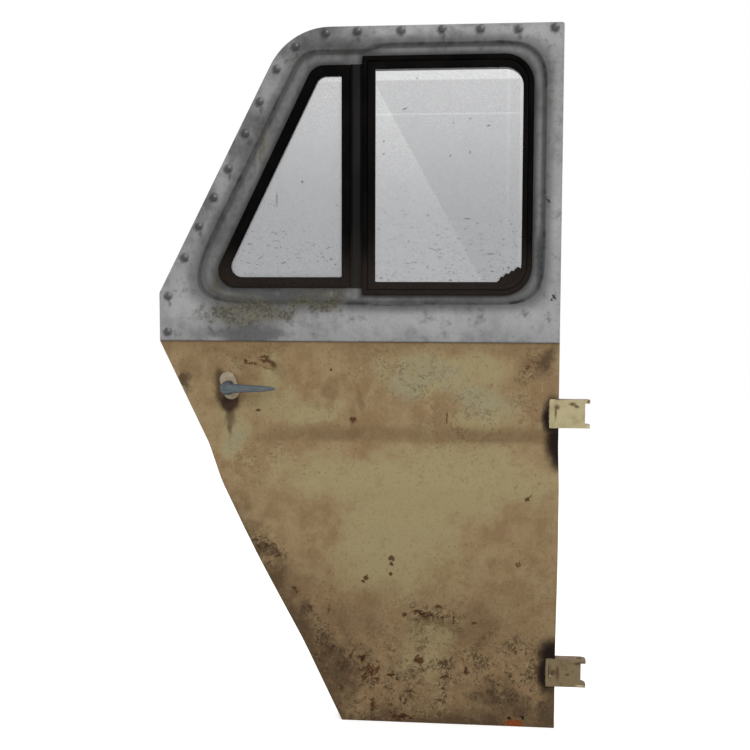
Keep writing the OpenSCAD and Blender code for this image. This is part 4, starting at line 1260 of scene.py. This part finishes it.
class VANDOOR_OT_sash(PieceOperator, bpy.types.Operator):
    """Run round the sash, the sash's own frame with its torn corner, and its glass."""

    bl_idname = "vandoor.sash"
    bl_label = "Sash"

    def build(self, s):
        outer = sash_outer()
        inner = inset(outer, s.run_w)
        deep = s.step_depth
        section = [(0, 1.0), (0, 0.42), (0.05, 0.2), (0.14, 0.06), (0.28, 0.0), (0.7, 0.03), (0.86, 0.1), (0.97, 0.3),
            (1, 0.45), (1, 1.0)]
        a, b = rounded(outer), rounded(inner)
        rings = [(part_way(a, b, t), deep * d) for t, d in section]
        ring_piece("sash_run_rubber", rings, "rubber", ["sash_run"])
        hole = window_hole(s)
        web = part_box("division_post")[1][0] - WEB_INSET
        lining = [hole[0], hole[1], (web, hole[1][1], 3 * MM), (web, hole[0][1], 3 * MM)]
        c, d = rounded(lining), rounded(inset(lining, 4 * MM))
        soft = part_way(c, d, 0.7)
        rings = [(c, deep + 0.1 * MM), (c, deep + 14 * MM), (soft, deep + 14 * MM), (d, deep + 12.6 * MM),
            (d, deep + 0.1 * MM)]
        rings.reverse()
        ring_piece("sash_lining_rubber", rings, "rubber", [])
        day = rounded(sash_day())
        glass_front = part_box("sash_glass")[0][1] - FACE_Y
        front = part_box("sash_frame")[0][1] - FACE_Y
        section = [(0, 8.0), (0, 3.2), (0.05, 2.2), (0.13, 1.65), (0.24, 1.5), (0.62, 1.5), (0.72, 1.75), (0.9, 1.85),
            (0.97, 2.2), (1, 2.9), (1, 8.0)]
        rings = [(part_way(b, day, t), depth * MM + front - 1.5 * MM) for t, depth in section]
        ring_piece("sash_border", rings, "black_paint", ["sash_frame"], sharp=50)
        self.torn_corner(glass_front)
        finish_node("sash_glass", "glass")

    def torn_corner(self, glass_front):
        """A torn flap of the sash rubber over the lower corner at the hinge side."""
        form = Form()
        ragged = [
            (-160, 747), (-133, 754), (-119, 766), (-116, 779), (-122, 783), (-127, 779), (-130, 775), (-134, 776),
            (-139, 770), (-144, 771), (-149, 764), (-153, 765), (-157, 757), (-160, 756),
        ]
        centre = Vector((-139, 764))
        rings = []
        for shrink, rise in ((0, 0.1), (0, 1.6), (0.06, 2.2)):
            points = [tuple((Vector(p) + (centre - Vector(p)) * shrink) * MM) for p in ragged]
            rings.append(form.flat(points, glass_front - rise * MM))
        form.loft(rings)
        form.cap(rings[-1])
        piece("sash_torn_corner", form, "rubber", sharp=30)


class VANDOOR_OT_post(PieceOperator, bpy.types.Operator):
    """Post between the windows: a shallow channel with two ribs in front of its web."""

    bl_idname = "vandoor.post"
    bl_label = "Post"

    def build(self, s):
        low, high = box("division_post")
        half = (high.x - low.x) / 2
        x_mid = (high.x + low.x) / 2
        ribs = [(0.08, 5.1), (0.2, 5.4), (0.3, 6.1), (0.62, 5.9), (0.72, 4.9), (0.8, 4.4), (0.94, 4.5), (1, 5.0),
            (1, 7.9)]
        section = [(-t, d) for t, d in reversed(ribs)] + ribs
        form = Form()
        rows = [form.add([(x_mid + half * t, FACE_Y + d * MM, z) for t, d in section]) for z in (high.z, low.z)]
        form.bridge(rows[0], rows[1])
        form.cap(rows[0])
        form.cap(rows[1], flip=True)
        right, left = x_mid + WEB, x_mid - WEB
        web = [(right, HOLE_FOOT), (right, HOLE_TOP), (left, HOLE_TOP), (left, HOLE_FOOT)]
        corners = rounded(with_radius(web, 1 * MM))
        back = high.y - FACE_Y
        back_rings = [form.flat(corners, 7.9 * MM), form.flat(corners, back - 1 * MM),
            form.flat(part_way(corners, [(x_mid, z) for _, z in corners], 0.2), back)]
        back_rings.reverse()
        form.loft(back_rings)
        form.cap(back_rings[0], flip=True)
        piece("window_post", form, "black_paint", ["division_post"], sharp=40)


def lever_form(reach, root, thickness, away, hub_r, hub_sides, hub_ends, direction):
    """A lever along +X from the spindle with its hub. Depths are behind the flat face, direction is -1 outside."""
    form = Form()
    path, sections = [], []
    count = 22
    for k in range(count + 1):
        t = k / count
        x = HANDLE.x + reach * (t ** 0.9)
        half = root / 2 * (0.98 - 0.52 * t - 0.22 * t ** 8)
        thick = thickness / 2 * (1 - 0.55 * t ** 1.6)
        bow = direction * thickness * 0.3 * math.sin(math.pi * min(1, t * 1.1))
        if k == count:
            half, thick = half * 0.6, thick * 0.4
        elif k == count - 1:
            half, thick = half * 0.9, thick * 0.8
        place = Vector((x, FACE_Y + away + direction * thickness / 2 + bow, HANDLE.z))
        path.append((place, Vector((0, 0, 1)), Vector((0, 1, 0))))
        sections.append(oval(half, thick, 2.5, 20))
    form.merge(swept(path, sections))
    start, end = hub_ends
    rise = abs(end - start)
    profile = [(hub_r, 0), (hub_r, rise - 1.6 * MM), (hub_r * 0.93, rise - 0.5 * MM), (hub_r * 0.82, rise),
        (hub_r * 0.45, rise + 0.1 * MM), (hub_r * 0.38, rise - 0.9 * MM)]
    hub = turned(profile, hub_sides)
    place = outwards if direction < 0 else inwards
    taller = Matrix.Translation(HANDLE) @ Matrix.Scale(1.12, 4, Vector((0, 0, 1))) @ Matrix.Translation(-HANDLE)
    form.merge(hub, taller @ place(HANDLE.x, HANDLE.z, start, math.pi / hub_sides))
    return form


class VANDOOR_OT_handle(PieceOperator, bpy.types.Operator):
    """Outer rose and lever, inner rose and lever, and the spindle between them."""

    bl_idname = "vandoor.handle"
    bl_label = "Handle"

    def build(self, s):
        self.rose()
        off, thick = s.lever_off, s.lever_t
        outer = lever_form(s.lever_l, s.lever_w, thick, -off, 12 * MM, 8, (-7.9 * MM, -off - thick), -1)
        piece("outer_handle", outer, "lever_steel", ["outer_lever"], "handle", sharp=38)
        inner_start, inner_end = (corner[1] - FACE_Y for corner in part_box("inner_lever"))
        inner = lever_form(s.inner_lever_l, 22 * MM, thick, inner_end - thick, 12 * MM, 24,
            (inner_start, inner_end), 1)
        piece("inner_handle", inner, "lever_steel", ["inner_lever"], "handle", sharp=38)
        finish_node("handle_spindle", "plain_steel", 0.4 * MM)
        low, high = box("inner_escutcheon")
        radius = (high.x - low.x) / 2
        rise = high.y - low.y
        profile = [(radius, 0), (radius, rise * 0.3), (radius * 0.95, rise * 0.65), (radius * 0.85, rise * 0.88),
            (radius * 0.66, rise), (radius * 0.62, rise), (radius * 0.6, rise * 0.5), (5.6 * MM, rise * 0.5),
            (5.6 * MM, -1 * MM)]
        form = Form()
        form.merge(turned(profile, 40), inwards(HANDLE.x, HANDLE.z, low.y - FACE_Y))
        piece("inner_rose", form, "plain_steel", ["inner_escutcheon"], sharp=35)

    def rose(self):
        """Oval rose, domed towards the hub and tilted like the cut-away edge."""
        half_w, half_l, rise = 16 * MM, 11 * MM, 7 * MM
        tilt = Matrix.Rotation(math.radians(17), 2)
        centre = Vector((HANDLE.x, HANDLE.z + 3 * MM))
        reach = half_w + half_l
        corners = with_radius([(half_w, -reach), (half_w, reach), (-half_w, reach), (-half_w, -reach)], half_w * 0.98)
        form = Form()
        rings = []
        dome = ((0, 0), (0, 0.2), (0.5, 0.42), (1.6, 0.62), (3.4, 0.82), (5.6, 0.95), (7.6, 1.0), (9.8, 1.0))
        for cut, height in dome:
            points = [centre + tilt @ Vector(p) for p in rounded(inset(corners, cut * MM))]
            rings.append(form.flat([tuple(p) for p in points], -rise * height))
        form.loft(rings)
        form.cap(rings[-1])
        piece("outer_rose", form, "escutcheon_paint", ["outer_escutcheon"])


class VANDOOR_OT_hinges(PieceOperator, bpy.types.Operator):
    """Both hinges: arms, edge plates, weld beads at the lips and bolts on the hinge edge."""

    bl_idname = "vandoor.hinges"
    bl_label = "Hinges"

    def build(self, s):
        for name in ("upper", "lower"):
            slot = name + "_hinge_paint"
            finish_node(name + "_hinge_arm", slot, 0.9 * MM)
            finish_node(name + "_hinge_edge_plate", slot, 0.8 * MM)
            finish_node(name + "_hinge_backing", "inner_paint", 0.5 * MM)
            low, high = box(name + "_hinge_arm")
            beads = Form()
            y = FACE_Y - 0.2 * MM
            for k, (a, b) in enumerate([
                ((low.x, y, low.z + 3 * MM), (low.x, y, high.z - 3 * MM)),
                ((low.x + 1 * MM, y, high.z), (X_REAR - 3 * MM, y, high.z)),
                ((low.x + 1 * MM, y, low.z), (X_REAR - 3 * MM, y, low.z)),
            ]):
                beads.merge(bead(a, b, 1.1 * MM, k + 3.1 * len(name)))
            piece(name + "_hinge_welds", beads, slot, sharp=60)
            bolts = Form()
            plate_low, plate_high = box(name + "_hinge_edge_plate")
            for level in (0.28, 0.72):
                y_bolt = plate_low.y + (plate_high.y - plate_low.y) * 0.68
                z_bolt = plate_low.z + (plate_high.z - plate_low.z) * level
                place = Matrix.Translation((plate_high.x, y_bolt, z_bolt)) @ Matrix.Rotation(math.pi / 2, 4, "Y")
                bolts.merge(turned([(7 * MM, -0.2 * MM), (7 * MM, 0.9 * MM), (6.6 * MM, 1.2 * MM)], 24), place)
                head = turned([(5.6 * MM, 1.0 * MM), (5.6 * MM, 4.4 * MM), (5.0 * MM, 5.0 * MM)], 6)
                bolts.merge(head, place @ Matrix.Rotation(level * 5, 4, "Z"))
            piece(name + "_hinge_bolts", bolts, "plain_steel", sharp=30)


def pan_screw(radius):
    """Head of a pan screw, a plain dome with a flat top."""
    return turned([(radius, -0.3 * MM), (radius, 0.12 * radius), (radius * 0.92, 0.3 * radius),
        (radius * 0.72, 0.46 * radius), (radius * 0.4, 0.54 * radius)])


class VANDOOR_OT_inner_side(PieceOperator, bpy.types.Operator):
    """Inner panel with its dished field, the service cover, and their screws."""

    bl_idname = "vandoor.inner_side"
    bl_label = "Inner side"

    def build(self, s):
        outline = lower_outline(s)
        lap = with_radius(inset(outline, 20 * MM), 12 * MM)
        field = inset(outline, 62 * MM)
        z_field = Z_BELT - 145 * MM
        dish = with_radius(
            [field[0], (field[1][0], z_field), (slant_x(field, z_field), z_field), field[3]], 30 * MM)
        back = box("inner_panel")[1].y - FACE_Y
        dish_d = 6 * MM
        form = Form()
        rim = form.flat(rounded(lap), back - s.sheet)
        lip = [form.flat(rounded(inset(lap, cut * MM)), back - drop * MM) for cut, drop in ((0, 0.5), (0.5, 0))]
        count = 6
        slope = []
        for k in range(count + 1):
            t = k / count
            slope.append(form.flat(rounded(inset(dish, (t * 7 - 1) * MM)), back - dish_d * ease(t)))
        form.loft([rim, *lip])
        form.between(lip[-1], slope[0])
        form.loft(slope)
        form.cap(slope[-1])
        form.turn_over()
        piece("inner_panel_sheet", form, "inner_paint", ["inner_panel"], sheet=s.sheet)
        self.cover(s)
        self.screws(lap, back)

    def cover(self, s):
        """Service cover with a folded edge and a raised field."""
        low, high = COVER_LOW, COVER_HIGH
        corners = with_radius([(high.x, low.z), (high.x, high.z), (low.x, high.z), (low.x, low.z)], 10 * MM)
        back = high.y - FACE_Y
        form = Form()
        rings = [form.flat(rounded(inset(corners, cut * MM)), back - drop * MM)
            for cut, drop in ((0, 1.2), (0, 0.4), (0.4, 0), (12, 0), (14, -1.4), (16, -1.8))]
        form.loft(rings)
        form.cap(rings[-1])
        form.turn_over()
        piece("service_cover_sheet", form, "inner_paint", ["service_cover"],
            sheet=s.sheet)

    def screws(self, lap, back):
        """Pan screws along the edge of the inner panel and at the corners of the cover."""
        form = Form()
        head = pan_screw(5.5 * MM)
        line = rounded(inset(lap, 10 * MM))
        total = sum(math.dist(a, b) for a, b in zip(line, line[1:] + line[:1]))
        count = 18
        spacing = total / count
        walked, due, k = 0.0, spacing / 2, 0
        for a, b in zip(line, line[1:] + line[:1]):
            run = math.dist(a, b)
            while run and due <= walked + run:
                share = (due - walked) / run
                x, z = a[0] + (b[0] - a[0]) * share, a[1] + (b[1] - a[1]) * share
                form.merge(head, inwards(x, z, back, k * 1.3))
                due += spacing
                k += 1
            walked += run
        level = COVER_HIGH.y - FACE_Y
        for x in (COVER_LOW.x + 9 * MM, COVER_HIGH.x - 9 * MM):
            for z in (COVER_LOW.z + 9 * MM, COVER_HIGH.z - 9 * MM):
                form.merge(head, inwards(x, z, level, x * 40))
        piece("inner_screws", form, "plain_steel", sharp=35)


class VANDOOR_OT_fittings(PieceOperator, bpy.types.Operator):
    """Paint and soft edges for the frame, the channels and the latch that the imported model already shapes."""

    bl_idname = "vandoor.fittings"
    bl_label = "Frame and latch"

    def build(self, s):
        finish_node("window_inner_frame", "frame_paint", 0.5 * MM)
        for node in ("hinge_stile", "belt_rail", "lower_front_rail", "bottom_rail"):
            finish_node(node, "inner_paint", 0.5 * MM)
        for node in ("latch_case", "latch_bolt"):
            finish_node(node, "plain_steel", 0.7 * MM)


class VANDOOR_OT_stage(PieceOperator, bpy.types.Operator):
    """Pale floor, white background, soft studio light and the camera at the photograph's angle."""

    bl_idname = "vandoor.stage"
    bl_label = "Stage"

    def build(self, s):
        self.camera()
        self.floor()
        self.world()
        self.lamp("key_light", Vector((0.9, -2.6, 2.7)), 1.8, 46)
        self.lamp("fill_light", Vector((-2.4, -2.2, 1.3)), 1.6, 12)
        self.lamp("back_light", Vector((-0.6, 2.8, 2.2)), 2.0, 34)

    def camera(self):
        """The photograph's camera, found from the door's edges: place, turn to the left, tilt down and roll."""
        photo_width, focal = 750, 1100
        turn, tilt, roll = (math.radians(a) for a in (5.448, 4.681, 0.1017))
        forward = Vector((-math.sin(turn) * math.cos(tilt), math.cos(turn) * math.cos(tilt), -math.sin(tilt)))
        right = Vector((math.cos(turn), math.sin(turn), 0))
        up = right.cross(forward)
        right, up = right * math.cos(roll) + up * math.sin(roll), up * math.cos(roll) - right * math.sin(roll)
        data = bpy.data.cameras.new("camera")
        data.sensor_width = 36
        data.lens = data.sensor_width * focal / photo_width
        data.clip_end = 50
        camera = placed("camera", data)
        place = Vector((-190.11, -2039.92, 749.28)) * MM
        aim = Matrix((right, up, -forward)).transposed().to_quaternion()
        camera.matrix_world = Matrix.LocRotScale(place, aim, None)
        bpy.context.scene.camera = camera

    def floor(self):
        """Pale floor that keeps the door's shadow."""
        form = Form()
        size, z = 6.0, Z_BOTTOM - 0.2 * MM
        form.cap(form.add([(-size, -size, z), (size, -size, z), (size, size, z), (-size, size, z)]))
        floor = placed("floor", form.mesh("floor"))
        m = material("floor")
        shown = m.shown()
        base = m.mix(m.noise(40 * MM, 3, 0.6), (0.8, 0.8, 0.8, 1), (0.84, 0.84, 0.84, 1))
        diffuse = m.node("ShaderNodeBsdfDiffuse", {}, {"Color": base}, "BSDF")
        glow = m.node("ShaderNodeEmission", {}, {"Color": (1, 1, 1, 1), "Strength": shown * 0.55}, "Emission")
        both = m.node("ShaderNodeAddShader", {}, {0: diffuse, 1: glow}, "Shader")
        m.node("ShaderNodeOutputMaterial", {}, {"Surface": both})
        floor.data.materials.append(m.owner)

    def world(self):
        """White to the camera and in reflections, and a plain soft light on the object."""
        world = bpy.data.worlds.new("studio")
        bpy.context.scene.world = world
        m = Shader(world)
        strength = m.node("ShaderNodeMapRange", {}, {"Value": m.shown(), "To Min": 0.55, "To Max": 1.0})
        light = m.node("ShaderNodeBackground", {}, {"Color": (1, 1, 1, 1), "Strength": strength}, "Background")
        m.node("ShaderNodeOutputWorld", {}, {"Surface": light})

    def lamp(self, name, place, size, power):
        """A round soft lamp that looks at the middle of the door."""
        data = bpy.data.lights.new(name, "AREA")
        data.shape = "DISK"
        data.size = size
        data.energy = power
        lamp = placed(name, data)
        lamp.location = place
        aim = Vector((-0.4, 0, 0.55)) - place
        lamp.rotation_euler = aim.to_track_quat("-Z", "Y").to_euler()


class VANDOOR_PT_pieces(bpy.types.Panel):
    """Sidebar panel with the door's pieces."""

    bl_idname = "VANDOOR_PT_pieces"
    bl_label = "Van door"
    bl_space_type = "VIEW_3D"
    bl_region_type = "UI"
    bl_category = "Van door"

    def draw(self, context):
        for operator in OPERATORS:
            self.layout.operator(operator.bl_idname)
        for group in (context.scene.van_door_sizes, context.scene.van_door_colours):
            column = self.layout.box()
            for name in group.bl_rna.properties.keys():
                if name not in {"rna_type", "name"}:
                    column.prop(group, name)


OPERATORS = [
    VANDOOR_OT_lower_skin,
    VANDOOR_OT_upper_skin,
    VANDOOR_OT_rivets,
    VANDOOR_OT_quarter_light,
    VANDOOR_OT_sash,
    VANDOOR_OT_post,
    VANDOOR_OT_handle,
    VANDOOR_OT_hinges,
    VANDOOR_OT_inner_side,
    VANDOOR_OT_fittings,
    VANDOOR_OT_stage,
]
CLASSES = [VanDoorSizes, VanDoorColours, *OPERATORS, VANDOOR_PT_pieces]


def register():
    for cls in CLASSES:
        bpy.utils.register_class(cls)
    bpy.types.Scene.van_door_sizes = bpy.props.PointerProperty(type=VanDoorSizes)
    bpy.types.Scene.van_door_colours = bpy.props.PointerProperty(type=VanDoorColours)


def unregister():
    del bpy.types.Scene.van_door_colours
    del bpy.types.Scene.van_door_sizes
    for cls in reversed(CLASSES):
        bpy.utils.unregister_class(cls)


def main():
    register()
    bpy.context.scene.view_settings.view_transform = "Standard"
    for operator in OPERATORS:
        group, name = operator.bl_idname.split(".")
        getattr(getattr(bpy.ops, group), name)()


if __name__ == "__main__":
    main()
